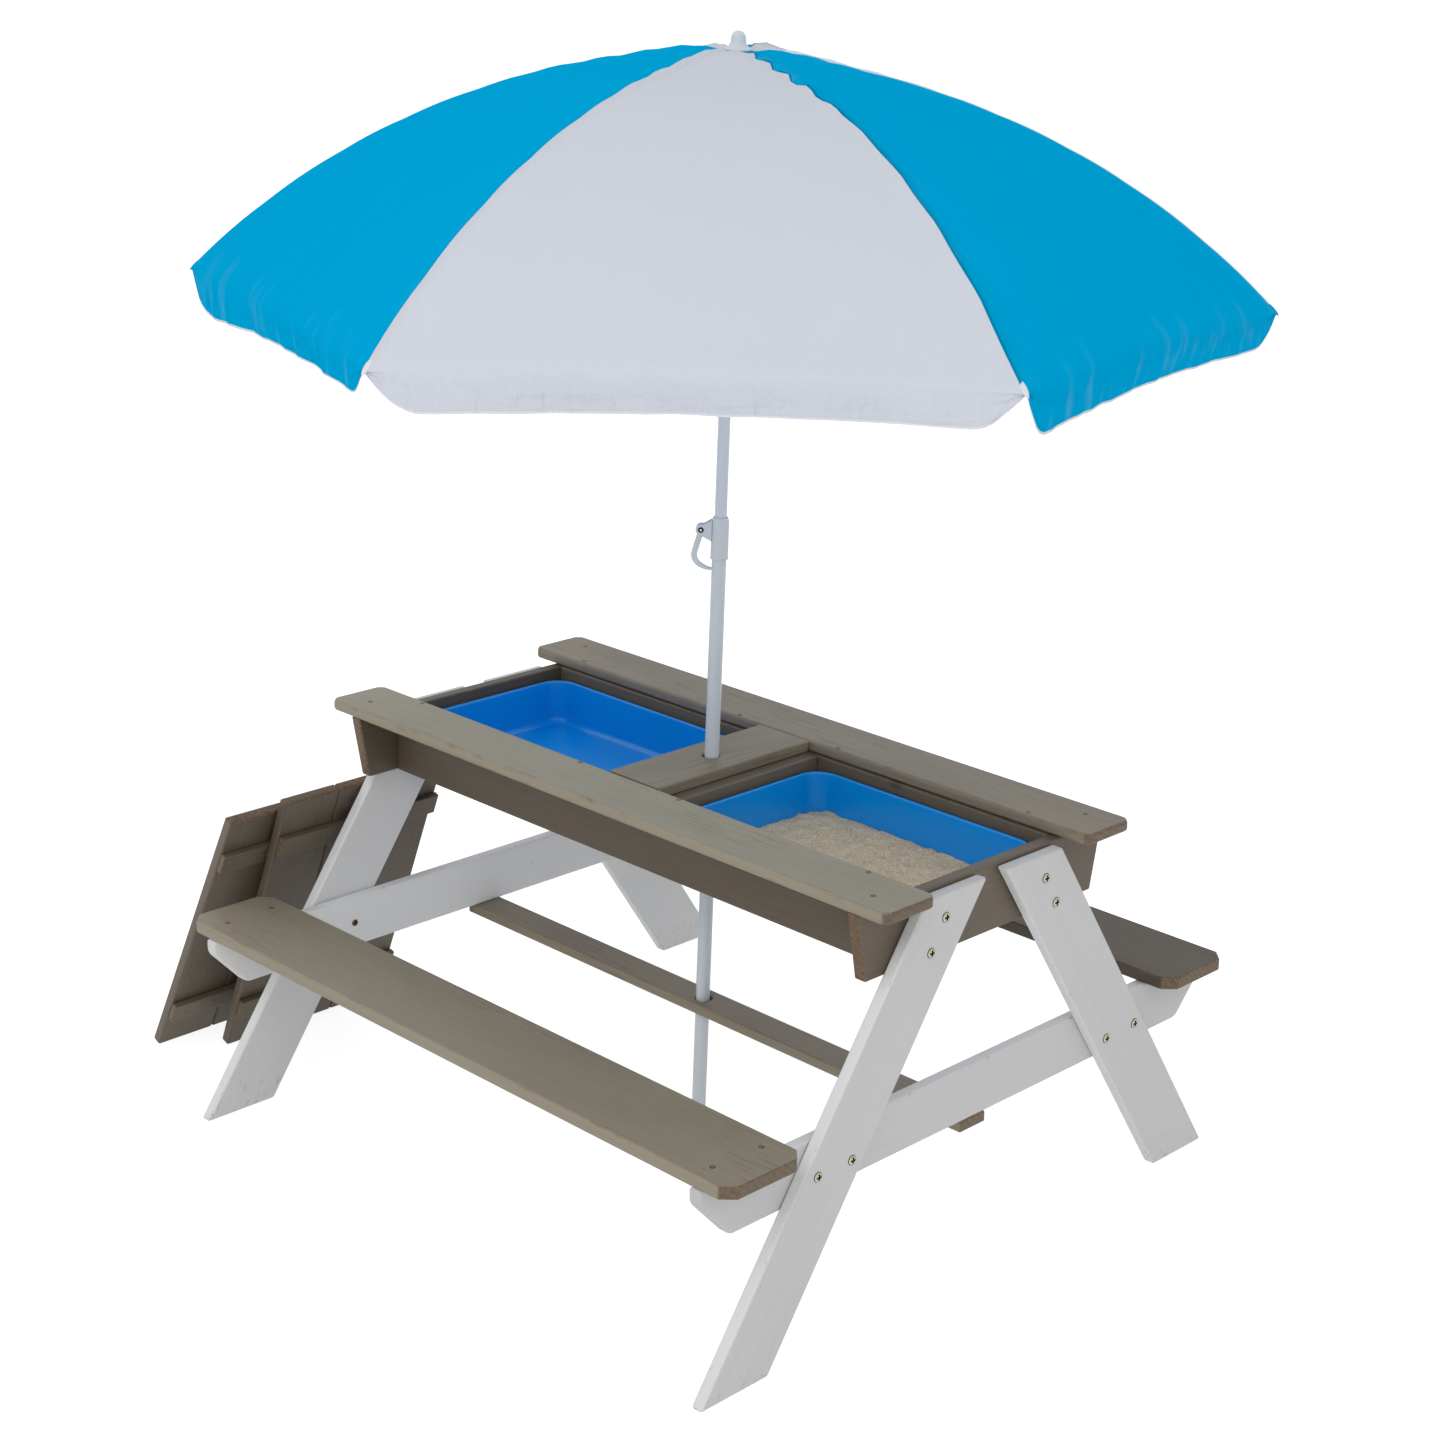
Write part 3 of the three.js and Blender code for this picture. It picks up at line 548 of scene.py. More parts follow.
def canopy_cloth(name, base):
    """Thin woven cloth: threads along its own map, crinkled where it is slack, with pale streaks there as a
    painted highlight.
    """
    finish = Finish(name)
    at = finish.node("ShaderNodeUVMap", {"uv_map": "weave"}, None, "UV")
    split = finish.node("ShaderNodeSeparateXYZ", None, {0: at}, "X")
    other = finish.node("ShaderNodeSeparateXYZ", None, {0: at}, "Y")
    threads = (split * (2 * math.pi / 0.0007)).sine() * (other * (2 * math.pi / 0.0007)).sine()
    crinkle = finish.noise(at, (60, 16, 1), 4.0, 0.6)
    pull = finish.noise(at, (9, 30, 1), 3.0, 0.55)
    fold = finish.noise(at, (13, 34, 1), 3.0, 0.5)
    slack = finish.mark("slack")
    cloud = finish.noise(at, (6, 5, 1), 3.0)
    height = (
        crinkle * slack * slack * 0.005
        + fold * slack * slack * 0.006
        + pull * (0.25 + slack) * 0.0015
        + threads * 0.00001
        + cloud * 0.0006
    )
    # The name worn is loose: the cloth is only darker where the cloud and crinkle noises are low.
    worn = finish.blend(cloud * 0.6 + crinkle * 0.4, [part * 0.95 for part in base], base)
    # Painted highlight: pale streaks where the cloth is slack stand for the sheen on its wrinkles, since the cloth
    # itself reflects nothing.
    painted_sheen = finish.step(finish.noise(at, (42, 12, 1), 2.0, 0.5), 0.5, 0.8) * slack * slack
    paler = [part + (1 - part) * 0.2 for part in base]
    return finish.cover(
        Base_Color=finish.blend(painted_sheen * 0.3, worn, paler),
        Roughness=0.6 + cloud * 0.12,
        Normal=finish.relief(height),
        Specular_IOR_Level=0.0,
    )


MATERIALS = {}
# Painted shadow: how much of the blue is kept in the dark strip beside the seams of the white gores, standing for
# the shade where the seam overlaps.
PAINTED_SEAM_SHADOW_FACTOR = 0.62
# Each metal's colour and its lowest roughness.
METALS = {
    "yellow_zinc": ((0.6, 0.56, 0.41), 0.16),
    "dull_zinc": ((0.27, 0.19, 0.095), 0.4),
    # Painted shadow: near-black metal in the heads' cross recesses and in the ring under each leg bolt, standing
    # for the shade there.
    "dark_zinc": ((0.05, 0.04, 0.025), 0.5),
    "copper_nut": ((0.22, 0.10, 0.07), 0.4),
    "rivet_steel": ((0.72, 0.73, 0.75), 0.25),
    "rivet_ring": ((0.035, 0.04, 0.055), 0.5),
}


def finish_of(maker, name, *values):
    """A material of this name, made the first time that it is asked for."""
    if name not in MATERIALS:
        MATERIALS[name] = maker(name, *values)
    return MATERIALS[name]


def metal(name):
    """One of the metals, by its name."""
    return finish_of(plated_metal, name, *METALS[name])


def cloth_of(name):
    """One of the canopy's cloths, by its name."""
    cloth = settings("parasol")
    colours = {
        "blue_cloth": cloth.blue,
        "white_cloth": cloth.white,
        "hem_binding": cloth.binding,
        # Painted shadow: the dark strip beside the white gores' seams.
        "blue_seam": [part * PAINTED_SEAM_SHADOW_FACTOR for part in cloth.blue],
    }
    return finish_of(canopy_cloth, name, colours[name])


def along_of(lid):
    """The direction up a leaning lid, from its lower batten to its upper one."""
    middles = [sum(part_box(f"{lid}_batten_{batten}"), Vector()) / 2 for batten in (1, 2)]
    low, high = sorted(middles, key=lambda middle: middle.z)
    return (high - low).normalized()


LEG_LEAN = Vector((0, 325, 481)).normalized()


def facing(direction):
    """The turn that makes +Z look in a direction."""
    return Vector((0, 0, 1)).rotation_difference(Vector(direction)).to_matrix().to_4x4()


def grain_of(node):
    """The name of a board's grain, its direction, and the direction its face looks."""
    if node.startswith(("near_lid", "far_lid")):
        lid = node[: node.index("_lid") + 4]
        along = along_of(lid)
        out = Vector((-along.z, 0, along.x))
        if "batten" in node:
            return lid + "_across", Vector((0, 1, 0)), out
        return lid + "_along", along, out
    if node.startswith("leg"):
        lean = LEG_LEAN if "front" in node else Vector((0, -LEG_LEAN.y, LEG_LEAN.z))
        return "leg_" + node.split("_")[1], lean, Vector((1, 0, 0))
    if node.startswith("cross_rail"):
        return "rail", Vector((0, 1, 0)), Vector((1, 0, 0))
    if node.startswith(("end_board", "divider")):
        return "y_upright", Vector((0, 1, 0)), Vector((1, 0, 0))
    if node.startswith(("centre_board", "tub_slat")):
        return "y_flat", Vector((0, 1, 0)), Vector((0, 0, 1))
    if node.startswith("apron"):
        return "x_upright", Vector((1, 0, 0)), Vector((0, 1, 0))
    return "x_flat", Vector((1, 0, 0)), Vector((0, 0, 1))


def verts_of(made):
    """The vertices among all that a bmesh operator made."""
    return [item for item in made["geom"] if isinstance(item, bmesh.types.BMVert)]


def add_shape(shape, added):
    """Adds one bmesh to another, and frees it."""
    mesh = bpy.data.meshes.new("added")
    added.to_mesh(mesh)
    added.free()
    shape.from_mesh(mesh)
    bpy.data.meshes.remove(mesh)


def to_piece(shape, name, body, materials, stands_for=()):
    """Turns a bmesh into a finished piece on its body."""
    mesh = bpy.data.meshes.new(name)
    shape.to_mesh(mesh)
    shape.free()
    mesh.shade_smooth()
    piece = bpy.data.objects.new(name, mesh)
    bpy.context.scene.collection.objects.link(piece)
    for material in materials:
        mesh.materials.append(material)
    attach(piece, body)
    if stands_for:
        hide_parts(*stands_for)
    return piece


def stand_in(shape, node, ending, *materials):
    """A finished piece that takes the place of one CAD node."""
    return to_piece(shape, node + ending, BODY_OF[node], materials, [node])


def solid_of(node):
    """A CAD node's solid as a bmesh with whole flat faces."""
    shape = bmesh.new()
    shape.from_mesh(FRAME["nodes"][node].data)
    bmesh.ops.remove_doubles(shape, verts=shape.verts, dist=2e-5)
    bmesh.ops.dissolve_limit(
        shape, angle_limit=math.radians(0.8), verts=shape.verts, edges=shape.edges
    )
    return shape


def keep_flats_flat(piece, angle_limit=40):
    """Smooth shading that leaves broad faces flat and sharp edges sharp."""
    piece.data.set_sharp_from_angle(angle=math.radians(angle_limit))
    flats = piece.modifiers.new("flats", "WEIGHTED_NORMAL")
    flats.keep_sharp = True
    flats.weight = 100


def eased(shape, radius, steps=3, sharper_than=28):
    """Rounds a solid's sharp edges and returns the new faces."""
    sharp = [
        edge
        for edge in shape.edges
        if edge.is_manifold and edge.calc_face_angle() > math.radians(sharper_than)
    ]
    made = bmesh.ops.bevel(
        shape,
        geom=sharp,
        offset=radius,
        offset_type="OFFSET",
        segments=steps,
        profile=0.5,
        affect="EDGES",
        clamp_overlap=True,
        material=-1,
    )
    return made["faces"]


def round_rail_ends(shape):
    """Rounds the corners on both sides of the slanting cut under each end of a rail."""
    corners = [
        edge
        for edge in shape.edges
        if abs((edge.verts[0].co - edge.verts[1].co).normalized().x) > 0.99
        and math.radians(12) < edge.calc_face_angle() < math.radians(80)
    ]
    bmesh.ops.bevel(
        shape,
        geom=corners,
        offset=settings("wood").rail_corner,
        offset_type="OFFSET",
        segments=5,
        profile=0.5,
        affect="EDGES",
        clamp_overlap=True,
        material=-1,
    )


# Painted light and shade: a board above 0 is drawn paler where light falls on it, one below 0 deeper where it lies
# in shade, such as the back bench, the aprons, the end boards and the lids. The left legs and rail are drawn paler
# to make up for the shade they stand in.
PAINTED_LIGHT_TONES = {
    "top_board_front": 1.0,
    "top_board_back": 0.28,
    "centre_board": 0.2,
    "bench_front": 0.72,
    "bench_back": -0.85,
    "stretcher": 0.42,
    "apron_front": -0.62,
    "apron_back": -0.5,
    "end_board_left": -0.68,
    "end_board_right": -0.58,
    "divider_left": -0.4,
    "divider_right": -0.4,
    "near_lid": -0.62,
    "far_lid": -0.48,
    "leg_front_left": 0.39,
    "leg_back_left": 0.85,
    "cross_rail_left": 0.66,
}


def tone_of(node):
    """Painted light and shade on a board, from -1 (deeper, painted shade) to 1 (paler, painted light); a lid's
    parts share one tone.
    """
    lid = node[: node.index("_lid") + 4] if "_lid" in node else node
    return PAINTED_LIGHT_TONES.get(lid, 0)


def dress_board(node, radius, maker, board_number):
    """A board's rounded stand-in; its number shifts the grain, so no two boards look alike."""
    shape = solid_of(node)
    if node.startswith("cross_rail"):
        round_rail_ends(shape)
    ends = shape.faces.layers.float.new("cut_end")
    edges = shape.faces.layers.float.new("worn_edge")
    boards = shape.faces.layers.float.new("board_number")
    painted_tones = shape.faces.layers.float.new("board_tone")
    sides = shape.faces.layers.float.new("narrow_side")
    for face in eased(shape, radius):
        face[edges] = 1
    key, along, out = grain_of(node)
    for face in shape.faces:
        face[boards] = board_number
        # Every face carries its board's painted light or shade.
        face[painted_tones] = tone_of(node)
        face[ends] = smooth((abs(face.normal.dot(along)) - 0.25) / 0.45)
        # A mask of the narrow sides, which the white paint draws paler as painted light.
        face[sides] = smooth((0.9 - abs(face.normal.dot(out))) / 0.4) * (1 - face[ends])
    material = finish_of(maker, maker.__name__ + "_" + key, along, out)
    keep_flats_flat(stand_in(shape, node, "_dressed", material))


def nodes_like(*starts):
    return [node for node in sorted(FRAME["nodes"]) if node.startswith(starts)]


class PICNIC_OT_boards(bpy.types.Operator):
    """Rounds and stains the top, the box under it, the benches and the stretcher"""

    bl_idname = "picnic.boards"
    bl_label = "Stain the boards"

    def execute(self, context):
        wood = settings("wood")
        for board_number, node in enumerate(nodes_like("top_board", "centre_board"), 1):
            dress_board(node, wood.top_edge, stained_wood, board_number)
        others = nodes_like("bench", "stretcher", "end_board", "apron", "divider", "tub_slat")
        for board_number, node in enumerate(others, 5):
            dress_board(node, wood.board_edge, stained_wood, board_number)
        return {"FINISHED"}


class PICNIC_OT_frame(bpy.types.Operator):
    """Rounds and paints the legs and the rails across them"""

    bl_idname = "picnic.frame"
    bl_label = "Paint the legs and rails"

    def execute(self, context):
        for board_number, node in enumerate(nodes_like("leg", "cross_rail"), 21):
            dress_board(node, settings("wood").leg_edge, white_wood, board_number)
        return {"FINISHED"}


BATTEN_EDGE_SHARE = 0.55


class PICNIC_OT_lids(bpy.types.Operator):
    """Rounds and stains the planks and battens of the two lids"""

    bl_idname = "picnic.lids"
    bl_label = "Stain the lids"

    def execute(self, context):
        radius = settings("wood").lid_edge
        for board_number, node in enumerate(nodes_like("near_lid", "far_lid"), 31):
            edge = radius * (BATTEN_EDGE_SHARE if "batten" in node else 1)
            dress_board(node, edge, stained_wood, board_number)
        return {"FINISHED"}


def rounded_plate(size_x, size_y, corner, steps):
    """A flat plate with round corners, as one face looking up."""
    shape = bmesh.new()
    bmesh.ops.create_grid(shape, x_segments=1, y_segments=1, size=0.5)
    bmesh.ops.scale(shape, vec=(size_x, size_y, 1), verts=shape.verts)
    bmesh.ops.bevel(
        shape,
        geom=list(shape.verts),
        offset=corner,
        offset_type="OFFSET",
        segments=steps,
        profile=0.5,
        affect="VERTICES",
        material=-1,
    )
    shape.faces.ensure_lookup_table()
    if shape.faces[0].normal.z < 0:
        bmesh.ops.reverse_faces(shape, faces=shape.faces)
    return shape


# A tub's moulding in metres: the rounding of its rim, the rim's flat, the inner edge as steps
# inwards and up, the bottom's thickness, how far the wall leans in, and the skirt of the rim.
TUB_CORNER_STEPS = 12
TUB_RIM_EDGE = 0.0011
TUB_RIM_FLAT = 0.0034
TUB_INNER_EDGE = ((0.0009, -0.0006), (0.0006, -0.0022))
TUB_BOTTOM = 0.0025
TUB_TAPER = 0.0056
TUB_WALL_ROWS = 6
TUB_FLOOR_INSET = 0.004
TUB_SKIRT = 0.0018


def mould_tub(node):
    """A tub drawn from its rim inwards: rim, lip, tapering wall, fillet and floor."""
    tub = settings("tub")
    low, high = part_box(node)
    size, middle = high - low, (low + high) / 2
    shape = rounded_plate(size.x, size.y, tub.corner, TUB_CORNER_STEPS)
    place = (middle.x, middle.y, high.z - TUB_RIM_EDGE)
    bmesh.ops.translate(shape, vec=place, verts=shape.verts)
    rim = list(shape.edges)
    floor = shape.faces[0]
    turned_down = sum(-lift for inward, lift in TUB_INNER_EDGE)
    wall_depth = size.z - TUB_BOTTOM - turned_down - tub.fillet
    rows = [(TUB_RIM_EDGE, TUB_RIM_EDGE), (TUB_RIM_FLAT, 0), *TUB_INNER_EDGE]
    rows += [(TUB_TAPER / TUB_WALL_ROWS, -wall_depth / TUB_WALL_ROWS)] * TUB_WALL_ROWS
    turns = [math.radians(15 * step) for step in range(7)]
    for before, after in zip(turns, turns[1:]):
        inward = tub.fillet * (math.cos(before) - math.cos(after))
        rows.append((inward, -tub.fillet * (math.sin(after) - math.sin(before))))
    rows.append((TUB_FLOOR_INSET, 0))
    for inward, lift in rows:
        bmesh.ops.inset_individual(
            shape, faces=[floor], thickness=inward, depth=lift, use_even_offset=True
        )
    skirt = bmesh.ops.extrude_edge_only(shape, edges=rim)
    bmesh.ops.translate(shape, vec=(0, 0, -TUB_SKIRT), verts=verts_of(skirt))
    bmesh.ops.recalc_face_normals(shape, faces=shape.faces)
    if floor.normal.z < 0:
        bmesh.ops.reverse_faces(shape, faces=shape.faces)
    piece = stand_in(shape, node, "_moulded", finish_of(tub_plastic, "tub_plastic"))
    wall = piece.modifiers.new("wall", "SOLIDIFY")
    wall.thickness = tub.wall
    wall.offset = -1
    keep_flats_flat(piece, 50)


class PICNIC_OT_tubs(bpy.types.Operator):
    """Moulds the two blue tubs"""

    bl_idname = "picnic.tubs"
    bl_label = "Mould the tubs"

    def execute(self, context):
        for node in ("tub_left", "tub_right"):
            mould_tub(node)
        return {"FINISHED"}


def into_rounded(x, y, half_x, half_y, corner):
    """Moves a point of a rectangle into the same rectangle with round corners."""
    past_x = abs(x) - (half_x - corner)
    past_y = abs(y) - (half_y - corner)
    if past_x <= 0 or past_y <= 0:
        return x, y
    reach = math.hypot(past_x, past_y)
    longest = max(past_x, past_y)
    scale = longest / reach if reach else 1
    return (
        math.copysign(half_x - corner + past_x * scale, x),
        math.copysign(half_y - corner + past_y * scale, y),
    )


# In metres: the sand's round corners, how far it lies under its box's top and how deep it dips,
# and the slice of the noise that gives its relief.
SAND_CORNER = 0.022
SAND_BELOW_TOP = 0.0005
SAND_DEEPEST = 0.006
SAND_DRAW = 0.31


class PICNIC_OT_sand(bpy.types.Operator):
    """Fills one tub with loose sand"""

    bl_idname = "picnic.sand"
    bl_label = "Fill in the sand"

    def execute(self, context):
        low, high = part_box("sand")
        half = (high - low) / 2
        centre = (high + low) / 2
        relief = settings("tub").sand_relief
        shape = bmesh.new()
        bmesh.ops.create_grid(shape, x_segments=220, y_segments=150, size=1)
        for vert in shape.verts:
            x, y = vert.co.x * half.x, vert.co.y * half.y
            x, y = into_rounded(x, y, half.x, half.y, SAND_CORNER)
            place = Vector((x, y, SAND_DRAW))
            drift = noise.fractal(place * 16, 0.9, 2.1, 3)
            bumps = noise.fractal(place * 75, 0.8, 2.1, 4)
            grit = noise.noise(place * 420)
            lift = max(relief * (drift + bumps * 0.5 + grit * 0.12), -SAND_DEEPEST)
            vert.co = (centre.x + x, centre.y + y, high.z - SAND_BELOW_TOP + lift)
        rim = [edge for edge in shape.edges if edge.is_boundary]
        for vert in verts_of(bmesh.ops.extrude_edge_only(shape, edges=rim)):
            vert.co.z = low.z
        open_edges = [edge for edge in shape.edges if edge.is_boundary]
        bmesh.ops.holes_fill(shape, edges=open_edges, sides=0)
        bmesh.ops.recalc_face_normals(shape, faces=shape.faces)
        stand_in(shape, "sand", "_fill", finish_of(loose_sand, "loose_sand"))
        return {"FINISHED"}


POLE_AXIS = Vector(JOINTS["mast_height"]["axis"]).normalized()
# The pole leans about the point at this height over the table's middle.
CROSSING = Vector((0, 0, 0.428))
PARASOL = (
    Matrix.Translation(MIDDLE + CROSSING)
    @ facing(POLE_AXIS)
    @ Matrix.Translation(-CROSSING)
)


def finish_fine(shape, node, material, radius):
    """A small round piece with its sharp edges rounded, in place of its CAD node."""
    eased(shape, radius, 2, 50)
    keep_flats_flat(stand_in(shape, node, "_finished", material), 35)


class PICNIC_OT_pole(bpy.types.Operator):
    """Finishes the two tubes"""

    bl_idname = "picnic.pole"
    bl_label = "Finish the pole"

    def execute(self, context):
        enamel = finish_of(pole_enamel, "pole_enamel")
        for node in ("lower_tube", "upper_tube"):
            finish_fine(solid_of(node), node, enamel, 0.0003)
        return {"FINISHED"}


def rivet_place():
    """The rivet's middle: X points away from the pole and Z up along it; and its reach in mm."""
    low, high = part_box("clip_rivet")
    centre = (low + high) / 2
    away = centre - MIDDLE - CROSSING
    away -= POLE_AXIS * away.dot(POLE_AXIS)
    out = away.normalized()
    turn = Matrix((out, POLE_AXIS.cross(out), POLE_AXIS)).transposed().to_4x4()
    return Matrix.Translation(centre) @ turn @ Matrix.Scale(MM, 4), away.length / MM


def through_points(points, steps=4):
    """A smooth curve through these points."""
    made = []
    padded = [points[0], *points, points[-1]]
    for stretch in zip(padded, padded[1:], padded[2:], padded[3:]):
        for step in range(steps):
            part = step / steps
            made.append(
                [
                    b + (c - a) * part / 2 + (a - 2.5 * b + 2 * c - d / 2) * part**2
                    + (1.5 * (b - c) + (d - a) / 2) * part**3
                    for a, b, c, d in zip(*stretch)
                ]
            )
    return [*made, list(points[-1])]


def add_plate(shape, outline, near, far):
    """A plate of this outline, between two distances beside the lever's middle."""
    face = shape.faces.new([shape.verts.new((x, near, z)) for x, z in outline])
    made = bmesh.ops.extrude_face_region(shape, geom=[face], use_keep_orig=True)
    bmesh.ops.translate(shape, vec=(0, far - near, 0), verts=verts_of(made))


def disc(radius, first=0, last=360, steps=24):
    """Points round a circle, from one angle to another."""
    turns = [math.radians(first + (last - first) * step / steps) for step in range(steps + 1)]
    return [(radius * math.cos(turn), radius * math.sin(turn)) for turn in turns]


# Millimetres from the pole's middle and above the floor, round the collar's wall.
COLLAR = (
    (9.2, 745.0),
    (10.7, 745.0),
    (10.9, 746.2),
    (10.4, 747.0),
    (10.4, 790.2),
    (10.1, 791.9),
    (9.2, 793.9),
    (8.9, 795.5),
    (7.6, 795.5),
    (7.6, 792.4),
    (9.2, 792.4),
    (9.2, 745.0),
)
# The strap's middle line from the rivet to its toe: millimetres from the pole's middle,
# millimetres above the rivet, and half of the strap's thickness there.
STRAP = (
    (22.4, 0, 3.5),
    (24.2, -9, 3.6),
    (27.0, -19, 3.6),
    (29.3, -28, 3.5),
    (29.6, -33, 3.4),
    (27.6, -38.7, 3.1),
    (22.8, -43.2, 2.7),
    (16.4, -46.4, 2.1),
    (8.95, -48.2, 1.3),
)
# Half of the rivet's outline: its radius and the distance from its middle, in millimetres.
RIVET = (
    (0, 7.3),
    (1.3, 7.3),
    (1.5, 6.6),
    (2.2, 6.6),
    (2.7, 7.2),
    (3.2, 7.1),
    (3.4, 6.1),
    (1.9, 6.1),
)
RIVET_CORE = 1.35 * MM
# The cheeks that hold the rivet, in millimetres: their root at the collar, its lower and upper
# end, their round end, and the two faces of each. Then the strap's round eye and half width.
CHEEK_ROOT = 9.6
CHEEK_LOW = -13.5
CHEEK_HIGH = 12.4
CHEEK_ROUND = 6.3
CHEEK_FACES = (3.5, 6.1)
STRAP_EYE = 5.2
STRAP_HALF = 3


class PICNIC_OT_clip(bpy.types.Operator):
    """Shapes the collar with its two cheeks, the strap that clips it, and the rivet"""

    bl_idname = "picnic.clip"
    bl_label = "Shape the clip"

    def execute(self, context):
        place, reach = rivet_place()
        moulding = finish_of(white_moulding, "white_moulding")
        cheeks = bmesh.new()
        root = CHEEK_ROOT - reach
        outline = [(root, CHEEK_LOW), *disc(CHEEK_ROUND, -70, 112), (root, CHEEK_HIGH)]
        for side in (-1, 1):
            add_plate(cheeks, outline, *(side * face for face in CHEEK_FACES))
        shape = turned(COLLAR)
        bmesh.ops.transform(shape, matrix=PARASOL, verts=shape.verts)
        self.finish_with(shape, cheeks, place, "collar", moulding, 0.0005)
        strap = bmesh.new()
        for outline in (disc(STRAP_EYE)[:-1], self.strap_outline(reach)):
            add_plate(strap, outline, -STRAP_HALF, STRAP_HALF)
        self.finish_with(bmesh.new(), strap, place, "clip_lever", moulding, 0.0008)
        self.set_rivet(place)
        return {"FINISHED"}

    def strap_outline(self, reach):
        """Out from the rivet, round a bend and in to a thin toe at the tube."""
        line = through_points(STRAP)
        outer, inner = [], []
        for (x, z, half), before, after in zip(line, [line[0], *line], [*line[1:], line[-1]]):
            along = Vector((after[0] - before[0], after[1] - before[1])).normalized()
            outer.append((x - reach - along.y * half, z + along.x * half))
            inner.append((x - reach + along.y * half, z - along.x * half))
        return outer + inner[::-1]

    def finish_with(self, shape, added, place, node, material, radius):
        """Finishes a shape together with plates that were drawn beside the rivet."""
        bmesh.ops.recalc_face_normals(added, faces=added.faces)
        bmesh.ops.transform(added, matrix=place, verts=added.verts)
        add_shape(shape, added)
        finish_fine(shape, node, material, radius)

    def set_rivet(self, place):
        """A hollow rivet: a bright core in a dark rolled ring on both cheeks."""
        steel, dark = metal("rivet_steel"), metal("rivet_ring")
        shape = turned([*RIVET, *[(radius, -height) for radius, height in RIVET[::-1]]], 32)
        for face in shape.faces:
            middle = face.calc_center_median()
            face.material_index = 1 if math.hypot(middle.x, middle.y) > RIVET_CORE else 0
        across = place @ Matrix.Rotation(math.radians(90), 4, "X") @ Matrix.Scale(1 / MM, 4)
        bmesh.ops.transform(shape, matrix=across, verts=shape.verts)
        keep_flats_flat(stand_in(shape, "clip_rivet", "_finished", steel, dark), 35)


def turned(profile, steps=48):
    """A shape turned about the pole from points at (radius, height) in millimetres."""
    shape = bmesh.new()
    verts = [shape.verts.new((radius * MM, 0, height * MM)) for radius, height in profile]
    edges = [shape.edges.new(pair) for pair in zip(verts, verts[1:])]
    bmesh.ops.spin(
        shape,
        geom=verts + edges,
        cent=(0, 0, 0),
        axis=(0, 0, 1),
        dvec=(0, 0, 0),
        angle=2 * math.pi,
        steps=steps,
        use_merge=True,
        use_normal_flip=False,
    )
    bmesh.ops.remove_doubles(shape, verts=shape.verts, dist=1e-6)
    bmesh.ops.recalc_face_normals(shape, faces=shape.faces)
    return shape


# Millimetres from the pole's middle and above the cloth, from the finial's foot to its dome.
FINIAL = (
    (0, -3),
    (6.5, -3),
    (6.5, 0.4),
    (15.6, 0.4),
    (16.5, 1.8),
    (16.3, 2.8),
    (14.9, 4.0),
    (12.6, 5.0),
    (11.2, 5.7),
    (10.6, 6.8),
    (10.4, 7.9),
    (9.6, 8.5),
    (9.0, 8.8),
    (8.8, 11),
    (8.5, 13.2),
)
FINIAL_DOME = 8.3
FINIAL_HEIGHT = 23


class PICNIC_OT_finial(bpy.types.Operator):
    """Turns the knob above the canopy"""

    bl_idname = "picnic.finial"
    bl_label = "Turn the finial"

    def execute(self, context):
        top = settings("parasol").height / MM
        dome = top + FINIAL_HEIGHT - FINIAL_DOME
        profile = [(radius, top + rise) for radius, rise in FINIAL]
        profile += [(radius, dome + rise) for radius, rise in disc(FINIAL_DOME, 0, 90, 8)]
        shape = turned(profile)
        bmesh.ops.transform(shape, matrix=PARASOL, verts=shape.verts)
        moulding = finish_of(white_moulding, "white_moulding")
        keep_flats_flat(stand_in(shape, "finial", "_turned", moulding), 50)
        return {"FINISHED"}


# The canopy's own angles, and its sizes in millimetres. SKEW lifts the rib tips on one side.
# The struts meet the ribs at STRUT_RADIUS. Between two ribs, RIM_TUCK and EDGE_TUCK bow the rim
# and the foot of the hanging edge inwards, and RIM_RISE lifts the rim. TIES holds the distances
# from the pole at which the cloth is tied. EDGE_HEIGHTS holds the hanging edge's height at both
# ends of each gore, drawn for an edge of EDGE_DRAWN. HALF_GORE_SHARE turns a distance along the
# gore into one square to its rib. SWAYS holds the side to which each seam's slack lies, and
# TIP_SHIFTS how far slack lets each rib's tip stand from its true place.
RIB_COUNT = 6
FIRST_RIB = math.radians(42)
TOP_SLOPE = math.radians(1.4)
SKEW = 6.5
SKEW_TOWARDS = math.radians(20)
STRUT_RADIUS = 217
CLOTH_HOLE = 9
RIM_TUCK = 5.5
RIM_RISE = 5
EDGE_TUCK = 9
SEAM_WIDTH = 6
EDGE_DRAWN = 42
HALF_GORE_SHARE = 0.87
TIES = (9, 46, 84, 126, 176, 232, 290, 372, 446, 532, 622)
EDGE_HEIGHTS = ((42, 42), (42, 42), (42, 42), (49, 29), (40, 35), (48, 36))
SWAYS = (-0.35, 0.3, -0.3, -0.3, -0.4, -1.0)
TIP_SHIFTS = (
    (2.2, 2.0, 0),
    (0, 0, 0),
    (0, 0, 0),
    (4.2, 3.9, 0),
    (-3.6, -3.3, -5.0),
    (1.7, 1.6, 0),
)


def rib_turn(rib):
    """The direction of a rib, counted from 0 and going round."""
    return FIRST_RIB + (rib % RIB_COUNT) * 2 * math.pi / RIB_COUNT


def over_rib(radius, turn):
    """Height of the cloth over a rib, in millimetres, at a distance from the pole."""
    cloth = settings("parasol")
    arc, height, tip = cloth.arc / MM, cloth.height / MM, cloth.radius / MM
    slope = math.asin(math.sin(TOP_SLOPE) + radius / arc)
    beyond = max(radius - STRUT_RADIUS, 0) / (tip - STRUT_RADIUS)
    fall = arc * (math.cos(TOP_SLOPE) - math.cos(slope))
    return height - fall + SKEW * beyond * math.cos(turn - SKEW_TOWARDS)


